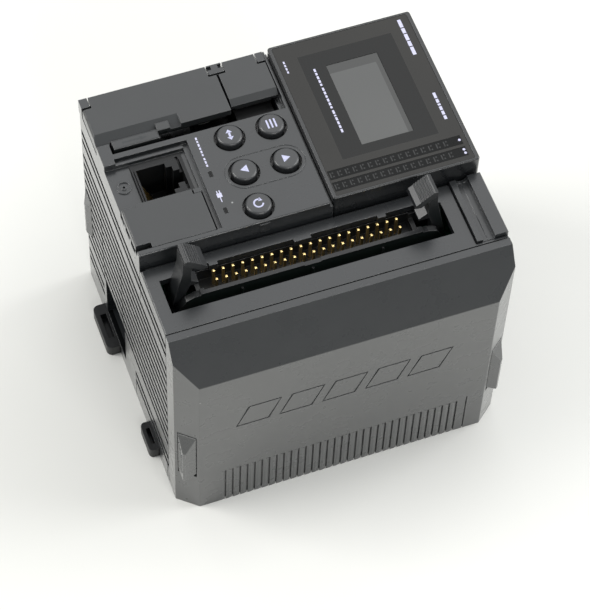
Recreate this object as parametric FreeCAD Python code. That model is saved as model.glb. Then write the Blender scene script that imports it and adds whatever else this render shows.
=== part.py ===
"""Programmable controller base unit: front panel, display, 40-way header and rail mounting.

Frame: origin on the rail seat, in the middle of the unit. +Z comes out of the front panel,
+X is up when the unit hangs on its rail, and Y runs along the rail, -Y towards the end cover.
All sizes are in millimetres.
"""
import FreeCAD, Part
import math
import os
from FreeCAD import Vector

# ---- driving dimensions -------------------------------------------------------------------
WIDTH = 90.0             # along X
LENGTH = 80.5            # along Y
DEPTH = 78.5             # back face to front panel
RAIL_DEPTH = 8.0         # rail seat above the back face
RAIL_WIDTH = 35.0        # top-hat rail
RAIL_PLAY = 0.4          # channel is wider than the rail by this on both sides together
RAIL_LIP = 1.5           # how far a hook reaches behind the rail flange
FLANGE_SLOT = 1.3        # height of the slot for the rail flange
SEAT_STEP = 0.1          # channel floor beside the seat is this much deeper
STEP_DOWN = 5.5          # connector deck below the front panel
GLASS_UP = 0.9           # display bezel above the front panel
SPLIT_HEIGHT = 60.0      # rear case height above the back face
END_DEPTH = 9.7          # end cover length along Y
STEP_FROM_END = 30.2     # panel's near edge from the end cover's face
GAP = 0.3                # parting gap between neighbouring mouldings
WALL = 2.2
TOP_WALL = 2.0
CASE_FLOOR = 2.5         # inner floor of the rear case above the rail seat

HALF = WIDTH / 2
NEAR = -LENGTH / 2
FAR = LENGTH / 2
BACK = -RAIL_DEPTH
PANEL = BACK + DEPTH
DECK = PANEL - STEP_DOWN
GLASS = PANEL + GLASS_UP
SPLIT = BACK + SPLIT_HEIGHT
END_SEAM = NEAR + END_DEPTH
STEP = NEAR + STEP_FROM_END

# ventilation slats
SLAT_PITCH = 3.74
SLOT_HEIGHT = 1.85
SLAT_DEPTH = 1.2
SLOT_TOP = BACK + 68.3
UPPER_SLOTS = 2
LOWER_SLOTS = 11
FOOT_SLOTS = 2
VENT_PITCH = 8.0
VENT_WIDTH = 5.6

# front keys
KEY_XS = (-12.4, -1.3)
KEY_YS = (16.8, 5.6, -5.25)
KEY_WELL_R = 4.05
KEY_WELL_DEPTH = 3.2
KEY_R = 3.25
KEY_RISE = 1.4
KEY_TRAVEL = 0.5

# display
DISPLAY_X0 = 5.7
BEZEL = 0.95
LCD_BOX = (18.2, 32.2, 3.7, 30.1)
STRIP_X = (7.0, 42.6)
STRIP_YS = (-2.75, -6.4)
STRIP_WIDTH = 2.8
LED_COUNT = 16
LED_PITCH = 2.03
LED_FIRST = 7.9

# header
HEADER_X = -3.7
HEADER_Y = -17.25
PIN_PITCH = 2.54
PIN_COLUMNS = 20
PIN = 0.64
CAVITY_HALF = 28.0
CAVITY_WIDE = 6.6
SHROUD_WALL = 1.1
LEVER_PIVOT = 34.2
LEVER_PIVOT_Z = BACK + 66.0
PIVOT_R = 0.9

# boards
BOARD = 1.6
FRONT_BOARD_Z = BACK + 62.0
CPU_BOARD_Z = BACK + 42.0
POWER_BOARD_Z = BACK + 23.0
POST_XY = ((-38.2, -25.4), (38.2, -25.4), (-38.2, 30.5), (38.2, 30.5))
POST_R = 2.6
SCREW_R = 1.2

OUT = "parts"
UP = Vector(0, 0, 1)


# ---- helpers ------------------------------------------------------------------------------
def box(x0, x1, y0, y1, z0, z1):
    return Part.makeBox(x1 - x0, y1 - y0, z1 - z0, Vector(x0, y0, z0))


def cylinder(radius, x, y, z0, z1):
    return Part.makeCylinder(radius, z1 - z0, Vector(x, y, z0), UP)


def rod_y(radius, x, z, y0, y1):
    return Part.makeCylinder(radius, y1 - y0, Vector(x, y0, z), Vector(0, 1, 0))


def rod_x(radius, y, z, x0, x1):
    return Part.makeCylinder(radius, x1 - x0, Vector(x0, y, z), Vector(1, 0, 0))


def prism(points, direction):
    wire = Part.makePolygon(points + [points[0]])
    return Part.Face(wire).extrude(direction)


def prism_xy(outline, z0, z1):
    return prism([Vector(x, y, z0) for x, y in outline], Vector(0, 0, z1 - z0))


def prism_xz(outline, y0, y1):
    return prism([Vector(x, y0, z) for x, z in outline], Vector(0, y1 - y0, 0))


def prism_yz(outline, x0, x1):
    return prism([Vector(x0, y, z) for y, z in outline], Vector(x1 - x0, 0, 0))


def cut(body, *tools):
    tools = [tool for group in tools for tool in (group if isinstance(group, list) else [group])]
    return body.cut(tools).removeSplitter()


def join(body, *others):
    return body.fuse(list(others)).removeSplitter()


def mirror_x(shape, about=0.0):
    return shape.mirror(Vector(about, 0, 0), Vector(1, 0, 0))


def round_edges(shape, radius, keep):
    """Fillet the edges for which keep(middle, step) is true, step being the vector between its ends."""
    edges = []
    for edge in shape.Edges:
        middle = edge.valueAt((edge.FirstParameter + edge.LastParameter) / 2)
        start, end = edge.Vertexes[0].Point, edge.Vertexes[-1].Point
        if keep(middle, end - start):
            edges.append(edge)
    return shape.makeFillet(radius, edges) if edges else shape


def upright(step):
    return abs(step.z) > 1e-6 and abs(step.x) < 1e-6 and abs(step.y) < 1e-6


def rounded_box(x0, x1, y0, y1, z0, z1, radius, top=0.0):
    """Box with round upright corners and, where top is given, a softened upper edge."""
    solid = round_edges(box(x0, x1, y0, y1, z0, z1), radius, lambda middle, step: upright(step))
    if top:
        solid = round_edges(solid, top, lambda middle, step: abs(middle.z - z1) < 1e-6)
    return solid


def slats(side, y0, y1, tops):
    """Long grooves in the side wall at x = side * HALF, one under each height in tops."""
    grooves = []
    for top in tops:
        x0, x1 = sorted((side * (HALF - SLAT_DEPTH), side * (HALF + 1)))
        grooves.append(box(x0, x1, y0, y1, top - SLOT_HEIGHT, top))
    return grooves


def vent_cuts(side, y0, y1, z0, z1):
    """Upright windows cut from inside, which open the bottom of the long grooves."""
    windows = []
    count = int((y1 - y0) // VENT_PITCH)
    first = (y0 + y1) / 2 - (count - 1) * VENT_PITCH / 2
    for index in range(count):
        middle = first + index * VENT_PITCH
        x0, x1 = sorted((side * (HALF - WALL - 1), side * (HALF - SLAT_DEPTH + 0.3)))
        windows.append(box(x0, x1, middle - VENT_WIDTH / 2, middle + VENT_WIDTH / 2, z0, z1))
    return windows


def slot_tops(first, count):
    return [SLOT_TOP - SLAT_PITCH * (first + index) for index in range(count)]


UPPER_TOPS = slot_tops(0, UPPER_SLOTS)
LOWER_TOPS = slot_tops(2.73, LOWER_SLOTS)
FOOT_TOPS = slot_tops(14.8, FOOT_SLOTS)
FAR_FOOT_TOPS = slot_tops(14.35, FOOT_SLOTS)


# ---- cases --------------------------------------------------------------------------------
LATCH_Y = (11.75, 26.25)
LATCH_OUT = 3.6
LATCH_TRAVEL = 3.0
LATCH_CLEAR = 0.3
LATCH_THICK = 3.6
LATCH_RAMP = 3.0
LATCH_WEB = 0.9           # floor left under the finger slots of both latches
SMALL_LATCH_Y = (-22.25, -13.25)
SMALL_LATCH_OUT = 2.6
SMALL_LATCH_IN = -30.0
RECESS_Y = (6.6, 23.3)
RECESS_Z = (BACK + 4.2, LOWER_TOPS[-1])
RECESS_DEEP = 7.0
BUS_HALF = 17.0
BUS_Z = (18.0, 30.0)
LOCK_Z = (BACK + 17.3, BACK + 36.0)
FAR_LOCK_Z = (BACK + 25.0, BACK + 40.6)
FAR_LOCK_Y = (34.4, 39.1)
FOOT_POCKETS_X = ((-41.5, -31.5), (22.0, 41.5))
FOOT_POCKETS_Y = ((-8.0, 4.0), (28.0, 40.0))
FOOT_POCKET_DEPTH = 5.5
COUNTERBORE_R = 2.6
COUNTERBORE_DEPTH = 3.0
SEAM_DEPTH = 0.35
SIDE_SEAMS = ((37.6, -1.0, 11.0), (11.0, -1.0, 16.8), (47.7, 20.0, 47.5), (64.3, 20.0, 47.5))


def rail_channel():
    """Channel for the rail; its floor steps back a little beside the hooks, clear of the seat."""
    side = (RAIL_WIDTH + RAIL_PLAY) / 2
    seat = side - RAIL_LIP
    body = box(-seat, seat, NEAR - 1, FAR + 1, BACK - 1, 0)
    latch_side = box(-side, -seat, NEAR - 1, FAR + 1, BACK - 1, SEAT_STEP)
    flange = box(seat, side, NEAR - 1, FAR + 1, -FLANGE_SLOT, SEAT_STEP)
    return [body, latch_side, flange]


def latch_ways():
    side = (RAIL_WIDTH + RAIL_PLAY) / 2
    y0, y1 = LATCH_Y[0] - LATCH_CLEAR, LATCH_Y[1] + LATCH_CLEAR
    big = box(-HALF - 1, -side + 1, y0, y1, BACK - 1, BACK + LATCH_THICK + 0.5)
    hook = box(-side - LATCH_TRAVEL - LATCH_RAMP, -side + 1, y0, y1, BACK - 1, -1.0)
    y0, y1 = SMALL_LATCH_Y[0] - LATCH_CLEAR, SMALL_LATCH_Y[1] + LATCH_CLEAR
    small = box(-HALF - 1, SMALL_LATCH_IN + 0.4, y0, y1, BACK - 1, BACK + LATCH_THICK + 0.5)
    return [big, hook, small]


def rear_case():
    y0 = END_SEAM + GAP
    outer = round_edges(box(-HALF, HALF, y0, FAR, BACK, SPLIT), 1.0,
                        lambda middle, step: upright(step) and middle.y > 0)
    inner = box(-HALF + WALL, HALF - WALL, y0 + WALL, FAR - WALL, CASE_FLOOR, SPLIT + 1)
    case = cut(outer, inner, rail_channel(), latch_ways())
    for side in (-1, 1):
        case = cut(case, slats(side, y0 - 1, FAR - 1.5, LOWER_TOPS))
        case = cut(case, slats(side, y0 - 1, NEAR + 38.0, FOOT_TOPS))
        case = cut(case, slats(side, NEAR + 65.5, FAR - 1.5, FAR_FOOT_TOPS))
        low = LOWER_TOPS[-1] - SLOT_HEIGHT
        case = cut(case, vent_cuts(side, y0 + 3, FAR - 8, low, SPLIT - 2))
    recess = box(-HALF - 1, -HALF + RECESS_DEEP, RECESS_Y[0], RECESS_Y[1], RECESS_Z[0], RECESS_Z[1])
    hood = box(-HALF + 0.6, -HALF + RECESS_DEEP + 1.6, RECESS_Y[0] - 1.6, RECESS_Y[1] + 1.6,
               CASE_FLOOR - 0.5, RECESS_Z[1] + 1.6)
    case = join(case, hood)
    case = cut(case, recess)
    case = cut(case, [box(*xs, *ys, BACK - 1, BACK + FOOT_POCKET_DEPTH)
                      for xs in FOOT_POCKETS_X for ys in FOOT_POCKETS_Y])
    for y, z0, z1 in SIDE_SEAMS:
        case = cut(case, box(-HALF - 1, -HALF + SEAM_DEPTH, NEAR + y, NEAR + y + 0.35, BACK + z0, BACK + z1))
    case = cut(case, box(-BUS_HALF, BUS_HALF, y0 - 1, y0 + WALL + 1, *BUS_Z))
    case = cut(case, box(-BUS_HALF, BUS_HALF, FAR - WALL - 1, FAR + 1, *BUS_Z))
    frame = box(-BUS_HALF - 3, BUS_HALF + 3, FAR - 0.5, FAR + 1, BUS_Z[0] - 3, BUS_Z[1] + 3)
    case = cut(case, frame)
    for side in (-1, 1):
        x0, x1 = sorted((side * (HALF - WALL - 1.5), side * (HALF + 1)))
        case = cut(case, box(x0, x1, FAR_LOCK_Y[0] - 0.3, FAR_LOCK_Y[1] + 0.3,
                             FAR_LOCK_Z[0] - 0.3, FAR_LOCK_Z[1] + 0.3))
    for x, y in POST_XY:
        case = cut(case, cylinder(SCREW_R + 0.1, x, y, BACK - 1, CASE_FLOOR + 1),
                   cylinder(COUNTERBORE_R, x, y, BACK - 1, BACK + COUNTERBORE_DEPTH))
    return case


HEADER_FAR = NEAR + 26.5
HEADER_END_FAR = NEAR + 25.3
HEADER_NEAR = NEAR + 15.3
HEADER_LEFT = -41.5
HEADER_RIGHT = 32.5
RAIL_BLOCK_X = 36.6
LABEL_SLOT_X = (38.2, 41.4)
LABEL_DIP_R = 1.9


def deck_opening():
    """Outline of the header recess, with three small tabs on its far edge."""
    tab = HEADER_FAR - 0.9
    far = HEADER_FAR
    outline = [(HEADER_LEFT, HEADER_NEAR), (HEADER_RIGHT, HEADER_NEAR),
               (HEADER_RIGHT, HEADER_END_FAR), (30.6, HEADER_END_FAR), (30.6, far - 0.2), (25.0, far)]
    for x0, x1 in ((16.0, 18.2), (-6.2, -1.7), (-28.4, -26.2)):
        outline += [(x1, far), (x1, tab), (x0, tab), (x0, far)]
    outline += [(-34.0, far), (-36.2, HEADER_END_FAR), (HEADER_LEFT, HEADER_END_FAR)]
    return outline


def connector_deck():
    y0, y1 = END_SEAM + GAP, STEP - GAP
    outer = box(-HALF, HALF, y0, y1, SPLIT, DECK)
    outer = round_edges(outer, 0.5, lambda middle, step: abs(middle.z - DECK) < 1e-6
                        and abs(abs(middle.x) - HALF) < 1e-6)
    inner = box(-HALF + WALL, HALF - WALL, y0 + WALL, y1 + 1, SPLIT - 1, DECK - TOP_WALL)
    deck = cut(outer, inner, prism_xy(deck_opening(), SPLIT, DECK + 1))
    ledge = box(-HALF - 1, HALF + 1, STEP - 1.0, y1 + 1, DECK - 0.6, DECK + 1)
    bed = box(RAIL_BLOCK_X - 0.3, HALF + 1, y0 + 0.5, y1 + 1, DECK - 1.2, DECK + 1)
    deck = cut(deck, ledge, bed)
    for side in (-1, 1):
        deck = cut(deck, slats(side, y0 - 1, y1 + 1, UPPER_TOPS))
    return deck


def label_rail():
    """Raised ribs at the deck's upper end that hold a marking strip."""
    base = DECK - 1.2
    rib, block = LABEL_SLOT_X
    outline = [(RAIL_BLOCK_X, base), (HALF, base), (HALF, DECK + 1.3), (HALF - 0.2, DECK + 1.5),
               (block, DECK + 1.5), (block, DECK), (rib + 1.5, DECK), (rib + 1.3, DECK - 0.15),
               (rib + 0.1, DECK - 0.15), (rib, DECK + 0.9), (RAIL_BLOCK_X + 0.1, DECK + 0.9)]
    rail = prism_xz(outline, END_SEAM + 1.0, STEP - 0.5)
    end = box(rib, block + 0.1, STEP - 1.3, STEP - 0.5, base, DECK + 1.0)
    dip = rod_y(LABEL_DIP_R, (rib + block) / 2, DECK + 1.9, STEP - 2, STEP)
    return join(rail, cut(end, dip))


LARGE_COVER_X = (-44.9, -9.15)
CARD_COVER_X = (-8.55, 4.1)
COVER_EDGE = NEAR + 65.3
CARD_EDGE = NEAR + 66.85
TROUGH = NEAR + 61.5
HINGE_LINE = NEAR + 78.9
PORT_X1 = -24.2
CHANNEL = (-24.2, -22.9)
PORT_FLOOR = PANEL - 2.2
PORT_FAR = NEAR + 60.0
PORT_NEAR = NEAR + 45.3
USB_X = (-44.9, -24.5)
USB_Y = (NEAR + 31.8, NEAR + 45.2)
USB_HINGE_X = -25.3
USB_HINGE_Z = PANEL - 1.1
USB_SWING_R = 1.5
USB_NOTCH_REACH = 1.25
USB_KNUCKLE_Y = (USB_Y[1] - 1.2, USB_Y[1] + 0.1)
JACK_X = (-38.7, -25.4)
JACK_Y = (NEAR + 45.5, NEAR + 58.0)
COVER_LOW = PANEL - 2.0
SEAT = COVER_LOW - 0.15
CASE_X1 = 4.8
SIDE_GAP_DEPTH = 1.6


def panel_openings():
    """Everything cut out of the panel's top wall, apart from the keys."""
    hinge_bay = box(-HALF - 1, CARD_COVER_X[1] + 0.3, COVER_EDGE - 0.4, FAR + 1, SEAT, PANEL + 1)
    bay = box(-41.6, 4.2, TROUGH, HINGE_LINE - 3.2, PANEL - TOP_WALL - 1, PANEL + 1)
    lever_bay = box(-41.8, -23.2, TROUGH, COVER_EDGE, SEAT - 2, PANEL + 1)
    usb_bay = box(-HALF - 1, USB_X[1] + 0.15, USB_Y[0] - 0.15, USB_Y[1] + 0.1, SEAT, PANEL + 1)
    usb_hole = box(-40.5, -26.2, USB_Y[0] + 0.9, USB_Y[1] - 0.7, PANEL - 4, PANEL + 1)
    port = box(-42.0, PORT_X1, PORT_NEAR, PORT_FAR - 1.5, PORT_FLOOR, PANEL + 1)
    port_side = box(-HALF - 1, -42.0, PORT_NEAR, NEAR + 58.5, PORT_FLOOR, PANEL + 1)
    port_step = box(-42.0, PORT_X1, PORT_FAR - 1.6, PORT_FAR - 0.7, PANEL - 0.9, PANEL + 1)
    port_groove = box(-42.0, CHANNEL[1], PORT_FAR - 0.7, PORT_FAR, PANEL - 1.5, PANEL + 1)
    jack_hole = box(JACK_X[0] - 0.1, JACK_X[1] + 0.1, JACK_Y[0] - 0.1, JACK_Y[1] + 0.1,
                    PANEL - 5, PANEL + 1)
    channel = box(CHANNEL[0], CHANNEL[1], USB_Y[1], PORT_FAR, PANEL - 1.5, PANEL + 1)
    usb_channel = box(USB_X[1], CHANNEL[1], USB_Y[0], USB_Y[1] + 1, PANEL - 1.5, PANEL + 1)
    usb_swing = rod_y(USB_SWING_R, USB_HINGE_X, USB_HINGE_Z, USB_Y[0] - 0.15, USB_Y[1] + 0.3)
    return [hinge_bay, bay, lever_bay, usb_bay, usb_hole, port, port_side, port_step, port_groove,
            jack_hole, channel, usb_channel, usb_swing]


def key_places():
    """Five keys: two columns in the far and middle rows, one in the near row."""
    return [("key_transfer", KEY_XS[0], KEY_YS[0]), ("key_menu", KEY_XS[1], KEY_YS[0]),
            ("key_down", KEY_XS[0], KEY_YS[1]), ("key_up", KEY_XS[1], KEY_YS[1]),
            ("key_return", KEY_XS[0], KEY_YS[2])]


OVAL_R = 5.0
OVAL_LINE = 0.25
OVAL_DEPTH = 0.15


def oval_groove():
    """Shallow line around the two keys of the middle row."""
    def stadium(radius):
        low = PANEL - OVAL_DEPTH
        bar = box(KEY_XS[0], KEY_XS[1], KEY_YS[1] - radius, KEY_YS[1] + radius, low, PANEL + 1)
        return bar.fuse([cylinder(radius, x, KEY_YS[1], low, PANEL + 1) for x in KEY_XS])
    return stadium(OVAL_R).cut(stadium(OVAL_R - OVAL_LINE))


LIGHT_XY = ((-20.5, NEAR + 48.0), (-20.5, NEAR + 36.4))
LIGHT_HALF = (0.5, 0.9)
BOSS_XY = (-41.8, NEAR + 52.3)
NOTCH_WIDTH = 1.1
HINGE_BLOCKS = ((-HALF, -HALF + 2.25), (-10.9, -6.9), (2.3, 4.3))


def hinge_blocks():
    """Blocks of the case that stand up between the covers at the far edge."""
    blocks = []
    for x0, x1 in HINGE_BLOCKS:
        blocks.append(box(x0, x1, FAR - 2.9, FAR, SEAT - 2.3, PANEL))
    x0, x1 = HINGE_BLOCKS[1]
    notches = ((x0 - 1, x0 + NOTCH_WIDTH), (x1 - NOTCH_WIDTH, x1 + 1))
    blocks[1] = cut(blocks[1], [box(a, b, FAR - 1.5, FAR - 0.35, PANEL - 0.9, PANEL + 1)
                                for a, b in notches])
    return blocks


HINGE_Z = PANEL - 1.2
HINGE_R = 0.6
BARREL_R = FAR - HINGE_LINE
TROUGH_R = 2.15


def hinge_trough():
    """Hollow in the case's far wall in which the covers' barrels and corners turn."""
    rod = rod_x(TROUGH_R, HINGE_LINE, HINGE_Z, -HALF - 1, CARD_COVER_X[1] + 0.3)
    back = box(-HALF - 1, CARD_COVER_X[1] + 0.3, HINGE_LINE, FAR + 1, SEAT - 0.4, PANEL + 1)
    return rod.fuse(back)


def front_case():
    y0 = STEP
    outer = box(-HALF, HALF, y0, FAR, SPLIT, PANEL)
    outer = round_edges(outer, 1.0, lambda middle, step: upright(step) and middle.y > 0)
    outer = round_edges(outer, 0.4, lambda middle, step: abs(middle.z - PANEL) < 1e-6)
    inner = box(-HALF + WALL, HALF - WALL, y0 + 1.6, FAR - WALL, SPLIT - 1, PANEL - TOP_WALL)
    openings = panel_openings()
    case = cut(outer, inner)
    divider = box(CASE_X1 - 1.6, DISPLAY_X0, y0 + 1, FAR - 1, DISPLAY_FLOOR, PANEL)
    port_tray = box(-HALF + 1, PORT_X1 + 0.2, PORT_NEAR - 1, PORT_FAR, PORT_FLOOR - 1.8, PORT_FLOOR)
    channel_floor = box(-HALF + 1, CHANNEL[1] + 1, USB_Y[0] - 0.8, PORT_FAR + 1, PANEL - 4.0, PANEL - 1.6)
    cover_seat = box(-HALF + 1, -41.6, TROUGH - 1, FAR - 1, SEAT - 1.6, SEAT)
    far_seat = box(-HALF + 1, CASE_X1, HINGE_LINE - 3.2, FAR - 1, SEAT - 2.3, SEAT)
    case = join(case, divider, port_tray, channel_floor, cover_seat, far_seat)
    case = cut(case, openings, hinge_trough())
    case = cut(case, box(-HALF - 1, -HALF + 1.6, COVER_EDGE - 0.4, FAR - 3.1, PANEL - 3.7, PANEL + 1))
    case = cut(case, box(-HALF + WALL, HALF - WALL, y0 - 1, y0 + 2, SPLIT - 1, FRONT_BOARD_Z + BOARD + 1.0))
    bay_cut = box(DISPLAY_X0 - 0.1, HALF + 1, y0 - 1, FAR + 1, DISPLAY_FLOOR, PANEL + 1)
    side_gap = box(CASE_X1, HALF + 1, y0 - 1, FAR + 1, PANEL - SIDE_GAP_DEPTH, PANEL + 1)
    case = cut(case, bay_cut, side_gap)
    for side in (-1, 1):
        case = cut(case, slats(side, y0 - 1, FAR - 1.5, UPPER_TOPS))
        case = cut(case, vent_cuts(side, y0 + 4, FAR - 8, SPLIT + 1.0, UPPER_TOPS[0]))
    case = join(case, *hinge_blocks())
    ledge = box(-25.2, 4.0, TROUGH - 0.4, TROUGH + 2.3, PANEL - 6.8, PANEL - 5.6)
    case = join(case, ledge, box(3.0, CASE_X1, TROUGH - 1, TROUGH + 3, PANEL - 6.8, PANEL - 2))
    rings = [cylinder(KEY_WELL_R + 1.0, x, y, PANEL - 4.0, PANEL - 1.0) for _, x, y in key_places()]
    bores = [cylinder(KEY_R + 0.15, x, y, PANEL - 4.5, PANEL + 1) for _, x, y in key_places()]
    wells = [cylinder(KEY_WELL_R, x, y, PANEL - KEY_WELL_DEPTH, PANEL + 1) for _, x, y in key_places()]
    reliefs = [cylinder(KEY_R + 0.9, x, y, PANEL - 6.0, PANEL - 4.0) for _, x, y in key_places()]
    knuckle = box(USB_HINGE_X - 0.8, USB_X[1] + 0.3, *USB_KNUCKLE_Y, SEAT - 1.0, USB_HINGE_Z + 0.8)
    case = cut(join(case, knuckle, *rings), wells, bores, reliefs)
    half_x, half_y = LIGHT_HALF
    lights = [box(x - half_x, x + half_x, y - half_y, y + half_y, PANEL - 4, PANEL + 1)
              for x, y in LIGHT_XY]
    case = cut(case, lights, oval_groove())
    grips = [box(-HALF - 1, -HALF + 0.8, NEAR + y, NEAR + y + 3.3, SEAT - 1.6, SEAT + 0.3)
             for y in (33.6, 37.8, 42.0)]
    case = cut(case, grips, box(-42.0, -41.2, NEAR + 31.8, NEAR + 33.2, PANEL - 3, PANEL + 1))
    ring = cylinder(1.95, *BOSS_XY, PORT_FLOOR, PORT_FLOOR + 0.35).cut(
        cylinder(1.55, *BOSS_XY, PORT_FLOOR, PORT_FLOOR + 1))
    dome = cylinder(0.75, *BOSS_XY, PORT_FLOOR - 0.1, PORT_FLOOR + 0.3)
    return cut(join(case, ring, dome), cylinder(0.32, *BOSS_XY, PORT_FLOOR - 1, PORT_FLOOR + 1))


# ---- display ------------------------------------------------------------------------------
DISPLAY_FLOOR = PANEL - 9.0
DISPLAY_WALL = 1.4
FILM_THICK = 0.5


def display_housing():
    y0, y1 = STEP + 0.25, FAR
    outer = box(DISPLAY_X0, HALF, y0, y1, DISPLAY_FLOOR + 0.1, GLASS)
    outer = round_edges(outer, 0.8, lambda middle, step: upright(step))
    outer = round_edges(outer, 0.35, lambda middle, step: abs(middle.z - GLASS) < 1e-6)
    inner = box(DISPLAY_X0 + DISPLAY_WALL, HALF - DISPLAY_WALL, y0 + DISPLAY_WALL, y1 - DISPLAY_WALL,
                DISPLAY_FLOOR - 1, GLASS - 1.6)
    film = rounded_box(*film_box(0.0), GLASS - FILM_THICK, GLASS + 1, 0.5)
    x0, x1, y0, y1 = LCD_BOX
    view = box(x0 - 1.0, x1 + 1.0, y0 - 1.0, y1 + 1.0, GLASS - 3, GLASS + 1)
    windows = [box(STRIP_X[0], STRIP_X[1], y - STRIP_WIDTH / 2, y + STRIP_WIDTH / 2, GLASS - 3, GLASS)
               for y in STRIP_YS]
    return cut(outer, inner, film, view, windows)


def film_box(play):
    return (DISPLAY_X0 + BEZEL + play, HALF - BEZEL - 0.15 - play,
            STEP + 0.25 + BEZEL - 0.3 + play, FAR - BEZEL + 0.25 - play)


def display_film():
    """Printed overlay with openings for the screen and for the two lamp strips."""
    film = rounded_box(*film_box(0.08), GLASS - FILM_THICK, GLASS - 0.06, 0.45)
    x0, x1, y0, y1 = LCD_BOX
    view = box(x0, x1, y0, y1, GLASS - 2, GLASS + 1)
    strips = [box(STRIP_X[0], STRIP_X[1], y - STRIP_WIDTH / 2, y + STRIP_WIDTH / 2, GLASS - 2, GLASS + 1)
              for y in STRIP_YS]
    return cut(film, view, strips)


def lcd_panel():
    x0, x1, y0, y1 = LCD_BOX
    return box(x0 + 0.05, x1 - 0.05, y0 + 0.05, y1 - 0.05, GLASS - 1.9, GLASS - 0.16)


def lcd_frame():
    """Sheet metal frame that clamps the glass to the display board."""
    x0, x1, y0, y1 = LCD_BOX
    frame = box(x0 - 2.2, x1 + 2.2, y0 - 2.2, y1 + 2.2, DISPLAY_BOARD_Z + 1.2, GLASS - 1.95)
    return cut(frame, box(x0 + 1, x1 - 1, y0 + 1, y1 - 1, GLASS - 3.2, GLASS))


DISPLAY_BOARD_Z = DISPLAY_FLOOR + 1.2


def display_board():
    wall = DISPLAY_WALL + 0.3
    return box(DISPLAY_X0 + wall, HALF - wall, STEP + 0.25 + wall, FAR - wall,
               DISPLAY_BOARD_Z, DISPLAY_BOARD_Z + 1.2)


def strip_windows():
    return [box(STRIP_X[0] + 0.05, STRIP_X[1] - 0.05, y - STRIP_WIDTH / 2 + 0.05,
                y + STRIP_WIDTH / 2 - 0.05, GLASS - 1.5, GLASS - 0.1) for y in STRIP_YS]


def status_leds():
    lamps = []
    for y in STRIP_YS:
        for index in range(LED_COUNT):
            x = LED_FIRST + LED_PITCH * index
            lamps.append(box(x - 0.4, x + 0.4, y - 0.7, y + 0.7, DISPLAY_BOARD_Z + 1.2, GLASS - 2.0))
    return lamps


DISPLAY_PLUG_X = (20.0, 34.0)
DISPLAY_PLUG_Y = (32.0, 36.0)


def display_plug():
    """Board-to-board connector between the display and the front board."""
    return box(*DISPLAY_PLUG_X, *DISPLAY_PLUG_Y, FRONT_BOARD_Z + BOARD, DISPLAY_BOARD_Z)


# ---- keys and switches --------------------------------------------------------------------
KEY_SWITCH_H = 3.4
KEY_SWITCH_BODY = 2.4
KEY_SWITCH_HALF = 3.0
KEY_STEM_R = 1.4
KEY_SKIRT_Z = (PANEL - 4.9, PANEL - 4.2)


def key_cap(x, y):
    """Round cap with a soft crown, a skirt that stops it in its well, and a stem."""
    cap = cylinder(KEY_R, x, y, PANEL - 4.3, PANEL + KEY_RISE)
    cap = cap.makeFillet(0.55, [edge for edge in cap.Edges
                                if abs(edge.BoundBox.ZMin - PANEL - KEY_RISE) < 1e-6])
    skirt = cylinder(KEY_R + 0.6, x, y, *KEY_SKIRT_Z)
    stem_low = FRONT_BOARD_Z + BOARD + KEY_SWITCH_H + KEY_TRAVEL + 0.1
    stem = cylinder(KEY_STEM_R, x, y, stem_low, KEY_SKIRT_Z[0] + 0.4)
    return join(cap, skirt, stem)


def key_switches():
    base = FRONT_BOARD_Z + BOARD
    half, body_top = KEY_SWITCH_HALF, base + KEY_SWITCH_BODY
    switches = []
    for _, x, y in key_places():
        body = box(x - half, x + half, y - half, y + half, base, body_top)
        switches.append(body.fuse(cylinder(KEY_STEM_R + 0.3, x, y, body_top - 0.1, base + KEY_SWITCH_H)))
    return switches


def light_pipes():
    half_x, half_y = LIGHT_HALF[0] - 0.04, LIGHT_HALF[1] - 0.04
    return [box(x - half_x, x + half_x, y - half_y, y + half_y, FRONT_BOARD_Z + BOARD + 1.0,
                PANEL - 0.05) for x, y in LIGHT_XY]


# ---- covers -------------------------------------------------------------------------------
FACET_TOP = NEAR + 68.7
FACET_X1 = -22.5
FACET_DROP = 1.3


def hinge_notches(x0, x1):
    """Room in a cover's far edge for the hinge blocks of the case."""
    tools = []
    for block_x0, block_x1 in HINGE_BLOCKS:
        if block_x1 > x0 and block_x0 < x1:
            tools.append(box(block_x0 - 0.3, block_x1 + 0.3, FAR - 3.45, FAR + 1, PANEL - 4, PANEL + 1))
    return tools


def cover_barrel(x0, x1):
    """Round rib under a cover's far edge that turns in the trough of the case."""
    rod = rod_x(BARREL_R, HINGE_LINE, HINGE_Z, x0, x1)
    return rod.common(box(x0, x1, HINGE_LINE - BARREL_R, FAR - 0.05, PANEL - 5, HINGE_Z + 0.1))


def hinged_edge(cover, x0, x1):
    """Cover with its barrel, its far lower corner rounded off, and room for the hinge blocks."""
    corner = box(x0 - 1, x1 + 1, HINGE_LINE, FAR + 1, PANEL - 5, HINGE_Z)
    return cut(join(cut(cover, corner), cover_barrel(x0, x1)), hinge_notches(x0, x1))


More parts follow.
